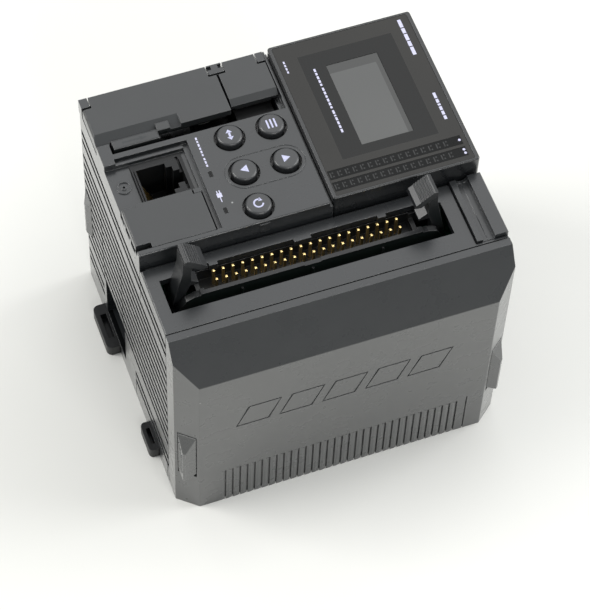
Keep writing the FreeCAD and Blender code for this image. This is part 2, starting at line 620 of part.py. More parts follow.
def large_cover():
    x0, x1 = LARGE_COVER_X
    cover = box(x0, x1, COVER_EDGE, FAR - 0.05, COVER_LOW, PANEL)
    cover = join(cover, box(x0, x0 + 1.4, COVER_EDGE, FAR - 3.3, PANEL - 3.5, COVER_LOW + 0.1))
    cover = round_edges(cover, 0.8, lambda middle, step: abs(middle.z - PANEL) < 1e-6
                        and abs(middle.x - x0) < 1e-6)
    facet = prism_yz([(FACET_TOP, PANEL), (COVER_EDGE - 1, PANEL - FACET_DROP - 0.35),
                      (COVER_EDGE - 1, PANEL + 1), (FACET_TOP, PANEL + 1)], x0 - 1, FACET_X1)
    lever_way = box(LEVER_X[0] - 0.3, LEVER_X[1] + LEVER_TRAVEL + 0.3, COVER_EDGE - 1,
                    LEVER_Y[1] + 0.15, PANEL - 3.0, PANEL + 1)
    tongue = box(LARGE_COVER_X[0] + 4.0, LARGE_COVER_X[1] - 1.0, COVER_EDGE + 1.4, COVER_EDGE + 2.6,
                 PANEL - 4.5, COVER_LOW + 0.1)
    cover = join(hinged_edge(cut(cover, facet), x0, x1), tongue)
    return cut(cover, lever_way)


LEVER_X = (-41.0, -28.8)
LEVER_Y = (NEAR + 62.9, NEAR + 65.8)
LEVER_TRAVEL = 2.4
NUB_X = (-29.0, -25.5)
NUB_Y = (NEAR + 64.6, NEAR + 67.1)


def cover_latch():
    """Sliding catch on the large cover, with a thumb nub at its right end."""
    bar = box(LEVER_X[0], LEVER_X[1], LEVER_Y[0], LEVER_Y[1], PANEL - 3.1, PANEL - 0.2)
    bar = round_edges(bar, 0.3, lambda middle, step: abs(middle.z - PANEL + 0.2) < 1e-6)
    nub = box(NUB_X[0], NUB_X[1], NUB_Y[0], NUB_Y[1], PANEL - 0.5, PANEL + 0.5)
    nub = round_edges(nub, 0.25, lambda middle, step: abs(middle.z - PANEL - 0.5) < 1e-6)
    link = box(LEVER_X[1] - 1.5, NUB_X[0] + 1.5, NUB_Y[0], LEVER_Y[1], PANEL - 0.75, PANEL - 0.3)
    key = box(LEVER_X[0] + 5.0, LEVER_X[0] + 8.0, LEVER_Y[1] - 0.5, LEVER_Y[1] + 0.5,
              PANEL - 3.1, PANEL - 2.5)
    return join(bar, nub, link, key)


def card_cover():
    x0, x1 = CARD_COVER_X
    cover = box(x0, x1, CARD_EDGE, FAR - 0.05, COVER_LOW, PANEL)
    bevel = prism_yz([(NEAR + 68.6, PANEL), (CARD_EDGE - 1, PANEL - 1.6), (CARD_EDGE - 1, PANEL + 1),
                      (NEAR + 68.6, PANEL + 1)], x0 - 1, x1 + 1)
    tongue = box(x0 + 1.5, x1 - 1.5, CARD_EDGE + 1.0, CARD_EDGE + 2.2, PANEL - 4.0, COVER_LOW + 0.1)
    return join(hinged_edge(cut(cover, bevel), x0, x1), tongue)


HINGE_PINS_X = ((-43.6, -41.0), (-12.5, -10.0), (-7.8, -5.4), (0.8, 3.2))


def cover_hinge_pins():
    """Four short steel pins between the case's hinge blocks and the covers."""
    return [rod_x(HINGE_R, HINGE_LINE, HINGE_Z, x0, x1) for x0, x1 in HINGE_PINS_X]


def bored(shape, radius, y, z, spans):
    """Shape with bores along X through the given spans."""
    return cut(shape, [rod_x(radius, y, z, x0, x1) for x0, x1 in spans])


def usb_cover():
    x0, x1 = USB_X
    y0, y1 = USB_Y
    near_left = y0 + 1.5
    outline = [(x0, near_left), (-41.0, near_left), (-41.0, y0), (x1, y0), (x1, y1),
               (-41.1, y1), (-41.1, y1 - 0.6), (x0, y1 - 0.6)]
    cover = prism_xy(outline, COVER_LOW, PANEL)
    cover = round_edges(cover, 0.6, lambda middle, step: abs(middle.z - PANEL) < 1e-6
                        and abs(middle.x - x0) < 1e-6)
    corner = box(USB_HINGE_X, x1 + 1, y0 - 1, y1 + 1, PANEL - 5, USB_HINGE_Z)
    corner = corner.cut(rod_y(x1 - USB_HINGE_X, USB_HINGE_X, USB_HINGE_Z, y0 - 1, y1 + 1))
    lip = box(-39.5, -38.3, y0 + 2.0, y1 - 2.0, PANEL - 3.6, COVER_LOW + 0.1)
    notch = box(USB_HINGE_X - USB_NOTCH_REACH, x1 + 1, USB_KNUCKLE_Y[0] - 0.3, y1 + 1, PANEL - 5, PANEL + 1)
    return join(cut(cover, corner, notch), lip)


def usb_hinge_pin():
    return rod_y(HINGE_R, USB_HINGE_X, USB_HINGE_Z, USB_Y[0] - 0.6, USB_Y[1])


# ---- sockets under the panel --------------------------------------------------------------
USB_PORT_XY = (-33.0, (USB_Y[0] + USB_Y[1]) / 2)


def usb_socket():
    low = FRONT_BOARD_Z + BOARD
    x, y = USB_PORT_XY
    shell = rounded_box(x - 5.8, x + 5.8, y - 5.2, y + 5.2, low, PANEL - 4.2, 0.6)
    mouth = prism_xy([(x - 4.2, y - 3.9), (x + 2.4, y - 3.9), (x + 4.2, y - 2.2), (x + 4.2, y + 2.2),
                      (x + 2.4, y + 3.9), (x - 4.2, y + 3.9)], low + 1.6, PANEL)
    return cut(shell, mouth)


def usb_tongue():
    x, y = USB_PORT_XY
    return box(x - 2.6, x + 2.6, y - 1.6, y + 1.6, FRONT_BOARD_Z + BOARD + 1.6, PANEL - 5.4)


JACK_TOP = PORT_FLOOR + 1.1
JACK_FLOOR = 2.0
JACK_WAYS = 6
JACK_PITCH = 1.27
MOUTH_Y = (NEAR + 45.9, NEAR + 55.6)


def modular_jack():
    """Six-way jack that faces forward, with a stepped keyway for the plug's tab."""
    low = FRONT_BOARD_Z + BOARD
    body = box(JACK_X[0], JACK_X[1], JACK_Y[0], JACK_Y[1], low, JACK_TOP)
    middle = sum(MOUTH_Y) / 2
    mouth = box(-37.7, -30.2, *MOUTH_Y, low + JACK_FLOOR, JACK_TOP + 1)
    keyway = box(-30.3, -28.7, middle - 3.5, middle + 3.5, low + JACK_FLOOR, JACK_TOP + 1)
    tab = box(-28.8, -26.3, middle - 2.0, middle + 2.0, low + JACK_FLOOR, JACK_TOP + 1)
    slot = box(-27.1, -26.3, JACK_Y[0] + 0.8, JACK_Y[1] - 0.8, JACK_TOP - 1.5, JACK_TOP + 1)
    step = box(JACK_X[0] - 1, JACK_X[1] + 1, MOUTH_Y[1] + 0.5, JACK_Y[1] + 1, JACK_TOP - 0.8, JACK_TOP + 1)
    groove = box(JACK_X[0] + 0.25, JACK_X[0] + 0.6, JACK_Y[0] - 1, JACK_Y[1] + 1,
                 JACK_TOP - 0.8, JACK_TOP + 1)
    return cut(body, mouth, keyway, tab, slot, step, groove)


def jack_contacts():
    low = FRONT_BOARD_Z + BOARD + JACK_FLOOR
    wires = []
    for index in range(JACK_WAYS):
        y = sum(MOUTH_Y) / 2 + (index - (JACK_WAYS - 1) / 2) * JACK_PITCH
        points = [(-37.6, low + 8.0), (-37.2, low + 8.0), (-34.2, low + 1.4), (-33.9, low),
                  (-34.4, low), (-34.7, low + 1.2)]
        wires.append(prism_xz(points, y - 0.22, y + 0.22))
    return wires


CARD_SLOT_X = (-7.6, 2.4)
CARD_SLOT_Y = (24.0, 36.8)


def card_slot():
    """Memory card connector under the small cover."""
    low = FRONT_BOARD_Z + BOARD
    (x0, x1), (y0, y1) = CARD_SLOT_X, CARD_SLOT_Y
    body = box(x0, x1, y0, y1, low, PANEL - 4.6)
    return cut(body, box(x0 + 1, x1 - 1, y0 + 4.6, y1 - 5.4, low + 1.5, PANEL))


HOLDER_X = (-34.9, -18.1)
HOLDER_Y = (25.8, 36.6)
HOLDER_HEIGHT = 5.2
BATTERY_R = 4.2
SWITCH_X = (-17.6, -8.4)
SWITCH_Y = (28.6, 34.4)
SWITCH_HEIGHT = 4.6


def battery_holder():
    low = FRONT_BOARD_Z + BOARD
    (x0, x1), (y0, y1) = HOLDER_X, HOLDER_Y
    body = box(x0, x1, y0, y1, low, low + HOLDER_HEIGHT)
    return cut(body, box(x0 + 1.0, x1 - 1.0, y0 + 1.0, y1 - 1.0, low + 1.0, low + 9),
               box(x0 + 4.4, x1 - 4.4, y0 - 1, y1 + 1, low + 3.0, low + 9))


def backup_battery():
    centre_z = FRONT_BOARD_Z + BOARD + 1.15 + BATTERY_R
    return rod_x(BATTERY_R, sum(HOLDER_Y) / 2, centre_z, HOLDER_X[0] + 1.2, HOLDER_X[1] - 1.2)


def mode_switch_body():
    low = FRONT_BOARD_Z + BOARD
    (x0, x1), (y0, y1) = SWITCH_X, SWITCH_Y
    body = box(x0, x1, y0, y1, low, low + SWITCH_HEIGHT)
    return cut(body, box(x0 + 1.4, x1 - 1.3, y0 + 1.8, y1 - 1.8, low + 1.5, low + 9))


def mode_slider():
    low = FRONT_BOARD_Z + BOARD
    x0 = SWITCH_X[0] + 1.6
    y0, y1 = SWITCH_Y[0] + 2.0, SWITCH_Y[1] - 2.0
    foot = box(x0, x0 + 2.9, y0, y1, low + 1.7, low + SWITCH_HEIGHT - 0.2)
    return join(foot, box(x0 + 0.6, x0 + 2.3, y0 + 0.3, y1 - 0.3, low + SWITCH_HEIGHT - 0.3, low + 6.2))


# ---- 40-way header ------------------------------------------------------------------------
def header_mirror(shape):
    return mirror_x(shape, HEADER_X)


SKIRT = 0.35
SKIRT_CLEAR_R = 2.6


def header_housing():
    """Box header with a pair of ears at each end that carry the ejector levers."""
    low = FRONT_BOARD_Z + BOARD
    top = DECK - 0.5
    wide = CAVITY_WIDE / 2 + SHROUD_WALL
    end = CAVITY_HALF + 1.2
    body = box(HEADER_X - end, HEADER_X + end, HEADER_Y - wide, HEADER_Y + wide, low, top)
    cavity = box(HEADER_X - CAVITY_HALF, HEADER_X + CAVITY_HALF, HEADER_Y - CAVITY_WIDE / 2,
                 HEADER_Y + CAVITY_WIDE / 2, DECK - 6.2, top + 1)
    notch = box(HEADER_X - 2.25, HEADER_X + 2.25, HEADER_Y - wide - 1, HEADER_Y - CAVITY_WIDE / 2 + 0.5,
                top - 0.35, top + 1)
    under = DECK - TOP_WALL - 0.3
    rim = box(HEADER_X - end - 9, HEADER_X + end + 9, HEADER_FAR - 0.9, HEADER_Y + wide + 1, under, top + 1)
    body = cut(body, cavity, notch)
    ear_outline = [(HEADER_X + end - 0.5, low), (HEADER_X + 35.9, low), (HEADER_X + 35.9, DECK - 6.5),
                   (HEADER_X + 33.0, DECK - 2.0), (HEADER_X + 30.6, DECK - 1.0),
                   (HEADER_X + end - 0.5, DECK - 1.0)]
    for inner, outer in ((2.75, wide), (-wide, -2.75)):
        ear = prism_xz(ear_outline, HEADER_Y + inner, HEADER_Y + outer)
        body = join(body, ear, header_mirror(ear))
    way = box(HEADER_X + CAVITY_HALF - 0.1, HEADER_X + end + 0.1, HEADER_Y - 2.75, HEADER_Y + 2.75,
              DECK - 4.4, top + 1)
    holes = [rod_y(PIVOT_R + 0.05, HEADER_X + side * LEVER_PIVOT, LEVER_PIVOT_Z, HEADER_Y - wide - 1,
                   HEADER_Y + wide + 1) for side in (-1, 1)]
    ribs = [box(x - 0.25, x + 0.25, HEADER_Y - wide - 0.35, HEADER_Y - wide + 0.1, low, top - 2.0)
            for x in (-22.2, HEADER_X, 14.8)]
    body = cut(body, rim, way, header_mirror(way), holes)
    skirt = box(HEADER_LEFT + 0.3, HEADER_RIGHT - 0.3, HEADER_NEAR + 0.3, HEADER_END_FAR - 0.3,
                low, low + SKIRT)
    skirt = cut(skirt, [cylinder(SKIRT_CLEAR_R, x, y, low - 1, low + 2) for x, y in POST_XY])
    return cut(join(body, skirt, *ribs), pin_holes())


def pin_grid():
    places = []
    for column in range(PIN_COLUMNS):
        for row in (-0.5, 0.5):
            places.append((HEADER_X + (column - (PIN_COLUMNS - 1) / 2) * PIN_PITCH,
                           HEADER_Y + row * PIN_PITCH))
    return places


def pin_holes():
    half = PIN / 2
    return [box(x - half, x + half, y - half, y + half, FRONT_BOARD_Z, DECK - 5) for x, y in pin_grid()]


def header_pins():
    half = PIN / 2
    low, top = FRONT_BOARD_Z + BOARD, DECK - 0.2
    pins = []
    for x, y in pin_grid():
        pin = box(x - half, x + half, y - half, y + half, low, top)
        pins.append(pin.makeChamfer(0.2, [edge for edge in pin.Edges
                                          if abs(edge.BoundBox.ZMin - top) < 1e-6]))
    return pins


PAD_Y = 2.9
PAD_RIBS = 6


def ejector():
    """Lever at the upper end of the header, in its closed place, leaning over the plug."""
    def out(distance, height):
        return (HEADER_X + distance, BACK + height)
    arm = prism_xz([out(35.3, 64.4), out(35.9, 67.7), out(33.3, 80.0), out(33.0, 84.9), out(30.6, 83.2),
                    out(31.0, 80.0), out(31.0, 76.0), out(33.4, 68.2), out(33.2, 64.4)],
                   HEADER_Y - 2.3, HEADER_Y + 2.3)
    pad = prism_xz([out(26.9, 81.2), out(27.2, 82.2), out(32.0, 86.0), out(32.8, 85.7), out(32.8, 84.5),
                    out(32.3, 83.9), out(28.6, 80.9)], HEADER_Y - PAD_Y, HEADER_Y + PAD_Y)
    ribs = []
    for index in range(PAD_RIBS):
        share = (index + 2.4) / (PAD_RIBS + 2.2)
        x, z = 27.2 + 4.8 * share, 82.2 + 3.8 * share
        ribs.append(rod_y(0.26, HEADER_X + x, BACK + z, HEADER_Y - PAD_Y, HEADER_Y + PAD_Y))
    hook = prism_xz([out(31.2, 75.6), out(28.9, 74.0), out(28.9, 73.3), out(31.9, 73.3)],
                    HEADER_Y - 1.6, HEADER_Y + 1.6)
    pivot = rod_y(PIVOT_R, HEADER_X + LEVER_PIVOT, LEVER_PIVOT_Z, HEADER_Y - 4.2, HEADER_Y + 4.2)
    return join(arm, pad, hook, pivot, *ribs)


# ---- boards and what is on them -----------------------------------------------------------
BOARD_HALF = 41.6
BOARD_Y = (-27.6, 37.2)
LOCK_NOTCH_X = 38.0
CHIPS = ((-14, 14, -4, 24, 3.2), (-34, -20, 2, 14, 1.6), (22, 36, 2, 14, 1.6))
COIL = (-18, 6, -14, 10)
COIL_HEIGHT = 13.0
CAN_R = 6.0
CAN_HEIGHT = 15.0
CAN_XY = ((22, -10), (22, 6))
STACK_X = (-30.0, 10.0)
STACK_YS = ((26.0, 30.0), (-24.5, -20.0))
BUS_WAYS = 20
BUS_PITCH = 1.4
SUPPLY_CELLS = 7
SUPPLY_PITCH = 4.2


def board(z):
    half, (y0, y1) = BOARD_HALF, BOARD_Y
    plate = box(-half, half, y0, y1, z, z + BOARD)
    plate = cut(plate, [box(a, b, FAR_LOCK_Y[0] - 1.4, y1 + 1, z - 1, z + BOARD + 1)
                        for a, b in ((-half - 1, -LOCK_NOTCH_X), (LOCK_NOTCH_X, half + 1))])
    return cut(plate, [cylinder(SCREW_R + 0.2, x, y, z - 1, z + BOARD + 1) for x, y in POST_XY])


def posts(z0, z1, blind):
    group = []
    for x, y in POST_XY:
        post = cylinder(POST_R, x, y, z0, z1)
        group.append(cut(post, cylinder(SCREW_R, x, y, z0 - 1, z0 + blind)))
    return group


def board_screws():
    """Pan-head screws that hold the front board down on its posts."""
    group = []
    top = FRONT_BOARD_Z + BOARD
    for x, y in POST_XY:
        head = cylinder(2.3, x, y, top, top + 1.4)
        head = cut(head, box(x - 2, x + 2, y - 0.3, y + 0.3, top + 0.7, top + 2),
                   box(x - 0.3, x + 0.3, y - 2, y + 2, top + 0.7, top + 2))
        group.append(join(head, cylinder(SCREW_R, x, y, FRONT_BOARD_Z + 0.01, top + 0.2)))
    return group


def case_screws():
    """Four screws from the back, in counterbores."""
    group = []
    for x, y in POST_XY:
        head = cylinder(COUNTERBORE_R - 0.2, x, y, BACK + 1.0, BACK + COUNTERBORE_DEPTH)
        head = cut(head, box(x - 2, x + 2, y - 0.35, y + 0.35, BACK, BACK + 1.9),
                   box(x - 0.35, x + 0.35, y - 2, y + 2, BACK, BACK + 1.9))
        group.append(join(head, cylinder(SCREW_R - 0.01, x, y, BACK + 2.9, 6.0)))
    return group


def processor_chips():
    top = CPU_BOARD_Z + BOARD
    return [box(x0, x1, y0, y1, top, top + height) for x0, x1, y0, y1, height in CHIPS]


def power_parts():
    """Transformer and two upright capacitors of the supply."""
    top = POWER_BOARD_Z + BOARD
    coil = rounded_box(*COIL, top, top + COIL_HEIGHT, 2.0)
    return [coil] + [cylinder(CAN_R, x, y, top, top + CAN_HEIGHT) for x, y in CAN_XY]


def expansion_connector():
    body = box(-BUS_HALF + 0.5, BUS_HALF - 0.5, END_SEAM + GAP + 0.4, END_SEAM + GAP + 7.0,
               BUS_Z[0] + 0.5, BUS_Z[1] - 0.5)
    middle = sum(BUS_Z) / 2
    slot = box(-BUS_HALF + 2.2, BUS_HALF - 2.2, END_SEAM, END_SEAM + 6.0, middle - 2.8, middle + 2.8)
    return cut(body, slot)


def expansion_contacts():
    fingers = []
    middle = sum(BUS_Z) / 2
    for index in range(BUS_WAYS):
        x = (index - (BUS_WAYS - 1) / 2) * BUS_PITCH
        fingers.append(box(x - 0.3, x + 0.3, END_SEAM + 1.2, END_SEAM + 6.0, middle - 0.6, middle + 0.6))
    return fingers


def supply_connector():
    """Receptacle in the far side, where the power supply unit plugs in."""
    body = box(-BUS_HALF + 0.5, BUS_HALF - 0.5, FAR - 8.0, FAR - 1.0, BUS_Z[0] + 0.5, BUS_Z[1] - 0.5)
    middle = sum(BUS_Z) / 2
    places = [(index - (SUPPLY_CELLS - 1) / 2) * SUPPLY_PITCH for index in range(SUPPLY_CELLS)]
    cells = [box(x - 1.6, x + 1.6, FAR - 7.0, FAR, middle - 2.6, middle + 2.6) for x in places]
    return cut(body, cells)


# ---- end cover and locks ------------------------------------------------------------------
CHAMFER_X = 5.3
CHAMFER_Y = 4.4
END_TOP = DECK
SLOPE_TOP_Y = NEAR + 7.7
SLOPE_LOW = BACK + 60.3
RELIEF_TOP = BACK + 15.5
RELIEF_PITCH = 2.02
RELIEF_COUNT = 33
RELIEF_FIRST = -32.4
RELIEF_DEPTH = 0.7
RELIEF_WIDTH = 0.42
RELIEF_RAMP = 1.2
RELIEF_RAMP_DEPTH = 0.14
RELIEF_HOOK = 0.3
MARK_Z = (28.5, 37.0)
MARK_FIRST = -30.0
MARK_COUNT = 5
MARK_PITCH = 11.6
MARK_WIDTH = 9.0
MARK_SLANT = 3.2
MARK_LINE = 0.45
MARK_DEPTH = 0.3
LUG_HALF = 2.5
LUG_RIDGE = 2.1
LUG_FLANGE = 3.05


def lock_frame(side):
    """Unit vectors along the corner chamfer and out of it, with the chamfer's middle."""
    length = math.hypot(CHAMFER_X, CHAMFER_Y)
    along = Vector(-side * CHAMFER_X / length, -CHAMFER_Y / length, 0)
    outward = Vector(side * CHAMFER_Y / length, -CHAMFER_X / length, 0)
    middle = Vector(side * (HALF - CHAMFER_X / 2), NEAR + CHAMFER_Y / 2, 0)
    return along, outward, middle


def lock_block(side, along0, along1, out0, out1, z0, z1):
    along, outward, middle = lock_frame(side)
    corners = [(along0, out0), (along1, out0), (along1, out1), (along0, out1)]
    points = [middle + along * a + outward * o + Vector(0, 0, z0) for a, o in corners]
    return prism(points, Vector(0, 0, z1 - z0))


def end_lock(side):
    """Wedge-shaped lug on the corner chamfer, with an inner flange that keeps it in the cover."""
    along, outward, middle = lock_frame(side)
    low, top = LOCK_Z
    half = LUG_HALF
    ridge = LUG_RIDGE
    base = [middle + along * -half, middle + along * half,
            middle + along * 0.4 + outward * ridge, middle + along * -0.4 + outward * ridge]
    lug = prism([point + Vector(0, 0, low - 2.0) for point in base], Vector(0, 0, top - low + 2.0))
    slope = Part.Face(Part.makePolygon([middle + outward * -0.5 + Vector(0, 0, top + 0.6),
                                        middle + outward * (ridge + 1) + Vector(0, 0, top - 9.6),
                                        middle + outward * (ridge + 1) + Vector(0, 0, top + 5),
                                        middle + outward * -0.5 + Vector(0, 0, top + 5),
                                        middle + outward * -0.5 + Vector(0, 0, top + 0.6)]))
    slope.translate(along * -6)
    lug = cut(lug, slope.extrude(along * 12))
    under = Part.Face(Part.makePolygon([middle + outward * -0.5 + Vector(0, 0, low + 0.5),
                                        middle + outward * (ridge + 1) + Vector(0, 0, low - 3.2),
                                        middle + outward * -0.5 + Vector(0, 0, low - 3.2),
                                        middle + outward * -0.5 + Vector(0, 0, low + 0.5)]))
    under.translate(along * -6)
    lug = cut(lug, under.extrude(along * 12))
    grips = []
    for share in (0.25, 0.5, 0.75):
        point = middle + along * (-half + (half - 0.4) * share) + outward * (ridge * share)
        grips.append(cylinder(0.22, point.x, point.y, low + 1.0, top - 9.0 * share - 2.0))
    neck = lock_block(side, -half + 0.2, half - 0.2, -2.4, 0.1, low - 0.4, top - 0.6)
    flange = lock_block(side, -LUG_FLANGE, LUG_FLANGE, -3.6, -2.4, low - 3.2, top + 1.8)
    return join(lug, neck, flange, *grips)


def end_cover():
    outline = [(END_SEAM, END_TOP), (SLOPE_TOP_Y, END_TOP), (NEAR, SLOPE_LOW), (NEAR, BACK),
               (END_SEAM, BACK)]
    solid = prism_yz(outline, -HALF, HALF)
    for side in (-1, 1):
        edge = [(side * (HALF + 1), NEAR - 1), (side * (HALF + 1), NEAR + CHAMFER_Y),
                (side * HALF, NEAR + CHAMFER_Y), (side * (HALF - CHAMFER_X), NEAR),
                (side * (HALF - CHAMFER_X), NEAR - 1)]
        solid = cut(solid, prism_xy(edge, BACK - 1, DECK + 1))
    solid = round_edges(solid, 0.4, lambda middle, step: abs(middle.y - NEAR) < 1e-4
                        and middle.z > BACK + 1)
    hollow_outline = [(END_SEAM + 1, END_TOP - 2.0), (SLOPE_TOP_Y + 1.0, END_TOP - 2.0),
                      (NEAR + 2.0, SLOPE_LOW - 1.5), (NEAR + 2.0, BACK + 2.0), (END_SEAM + 1, BACK + 2.0)]
    hollow = prism_yz(hollow_outline, -HALF + 7.2, HALF - 7.2)
    sides = prism_yz([(END_SEAM + 1, END_TOP - 2.0), (NEAR + 6.2, END_TOP - 4.0),
                      (NEAR + 6.2, BACK + 2.0), (END_SEAM + 1, BACK + 2.0)], -HALF + 2, HALF - 2)
    solid = cut(solid, hollow, sides)
    windows = []
    for side in (-1, 1):
        window = LUG_HALF + 0.12
        windows.append(lock_block(side, -window, window, -2.3, 3, LOCK_Z[0] - 1.8, LOCK_Z[1] - 0.4))
        pocket = LUG_FLANGE + 0.25
        windows.append(lock_block(side, -pocket, pocket, -9.0, -2.2, LOCK_Z[0] - 3.4, LOCK_Z[1] + 2.0))
    return cut(solid, windows, face_relief(), face_mark())


def face_mark():
    """Row of plain slanted blocks, each a shallow groove around its outline."""
    def outline(x, inset):
        low, top = MARK_Z[0] + inset, MARK_Z[1] - inset
        return [(x + inset, low), (x + MARK_WIDTH - inset, low),
                (x + MARK_WIDTH + MARK_SLANT - inset, top), (x + MARK_SLANT + inset, top)]

    tools = []
    for index in range(MARK_COUNT):
        x = MARK_FIRST + index * MARK_PITCH
        tools.append(cut(prism_xz(outline(x, 0.0), NEAR - 1, NEAR + MARK_DEPTH),
                         prism_xz(outline(x, MARK_LINE), NEAR - 2, NEAR + 1)))
    return tools


def face_relief():
    """Grip lines low on the cover's face: a narrow slot with a shallow ramp and a hook to its left."""
    tools = []
    for index in range(RELIEF_COUNT):
        x = RELIEF_FIRST + index * RELIEF_PITCH
        foot = x - RELIEF_WIDTH
        outline = [(x - RELIEF_RAMP, NEAR), (foot, NEAR + RELIEF_RAMP_DEPTH), (foot, NEAR + RELIEF_DEPTH),
                   (x, NEAR + RELIEF_DEPTH), (x, NEAR - 1), (x - RELIEF_RAMP, NEAR - 1)]
        tools.append(prism_xy(outline, BACK - 1, RELIEF_TOP))
        tools.append(box(x - RELIEF_RAMP, foot, NEAR - 1, NEAR + RELIEF_HOOK, RELIEF_TOP - RELIEF_HOOK,
                         RELIEF_TOP))
    last = RELIEF_FIRST + RELIEF_COUNT * RELIEF_PITCH + 0.3
    tools.append(box(last, last + 0.4, NEAR - 1, NEAR + 0.5, BACK - 1, RELIEF_TOP + 1.0))
    return tools


def far_lock(side):
    """Coupling lug in the side wall near the far end."""
    y0, y1 = FAR_LOCK_Y
    z0, z1 = FAR_LOCK_Z
    middle = (y0 + y1) / 2
    reach = 1.1
    outline = [(side * (HALF - 2.0), y0), (side * HALF, y0), (side * (HALF + reach), middle - 0.4),
               (side * (HALF + reach), middle + 0.4), (side * HALF, y1), (side * (HALF - 2.0), y1)]
    lug = prism_xy(outline, z0, z1)
    slope = prism_xz([(side * HALF, z1 + 0.1), (side * (HALF + 3), z1 - 9.0), (side * (HALF + 3), z1 + 1),
                      (side * HALF, z1 + 1)], y0 - 1, y1 + 1)
    lug = cut(lug, slope)
    x0, x1 = sorted((side * (HALF - WALL - 1.6 - 1.3), side * (HALF - WALL - 1.3)))
    neck_x0, neck_x1 = sorted((side * (HALF - WALL - 1.4), side * (HALF - 1.9)))
    return join(lug, box(x0, x1, y0 - 0.6, y1 - 1.2, z0 - 1.0, z1 + 1.0),
                box(neck_x0, neck_x1, y0, y1 - 1.4, z0, z1))


# ---- rail latches -------------------------------------------------------------------------
def rail_latch():
    side = (RAIL_WIDTH + RAIL_PLAY) / 2
    low, top = BACK + 0.2, BACK + 0.2 + LATCH_THICK
    tip = -side + RAIL_LIP - 0.05
    outline = [(-HALF - LATCH_OUT, low), (-side - 0.6, low), (tip, -3.4), (tip, -FLANGE_SLOT - 0.1),
               (-side - 0.6, -FLANGE_SLOT - 0.1), (-side - 2.6, top), (-HALF - LATCH_OUT, top)]
    latch = prism_xz(outline, LATCH_Y[0], LATCH_Y[1])
    latch = round_edges(latch, 1.6, lambda middle, step: upright(step) and middle.x < -HALF)
    middle_y = (LATCH_Y[0] + LATCH_Y[1]) / 2
    pull = box(-HALF - 2.3, -HALF - 0.6, middle_y - 4.0, middle_y + 4.0, low + LATCH_WEB, top + 1)
    springs = [box(-40.0, -24.0, y, y + 1.6, BACK - 1, top + 1) for y in (LATCH_Y[0] + 2.2, LATCH_Y[1] - 3.8)]
    return cut(latch, pull, springs)


def small_latch():
    low, top = BACK + 0.2, BACK + 0.2 + LATCH_THICK
    y0, y1 = SMALL_LATCH_Y
    tab = box(-HALF - SMALL_LATCH_OUT, SMALL_LATCH_IN, y0, y1, low, top)
    tab = round_edges(tab, 1.2, lambda middle, step: upright(step) and middle.x < -HALF)
    return cut(tab, box(-HALF - 1.6, -HALF - 0.5, y0 + 2.0, y1 - 2.0, low + LATCH_WEB, top + 1))


# ---- assembly -----------------------------------------------------------------------------
def export(name, shape):
    if isinstance(shape, list):
        shape = Part.makeCompound(shape)
    shape.exportStep(os.path.join(OUT, name + ".step"))
    solids = len(shape.Solids)
    print(f"{name:22s} solids {solids:3d} valid {shape.isValid()} volume {shape.Volume:9.1f}")


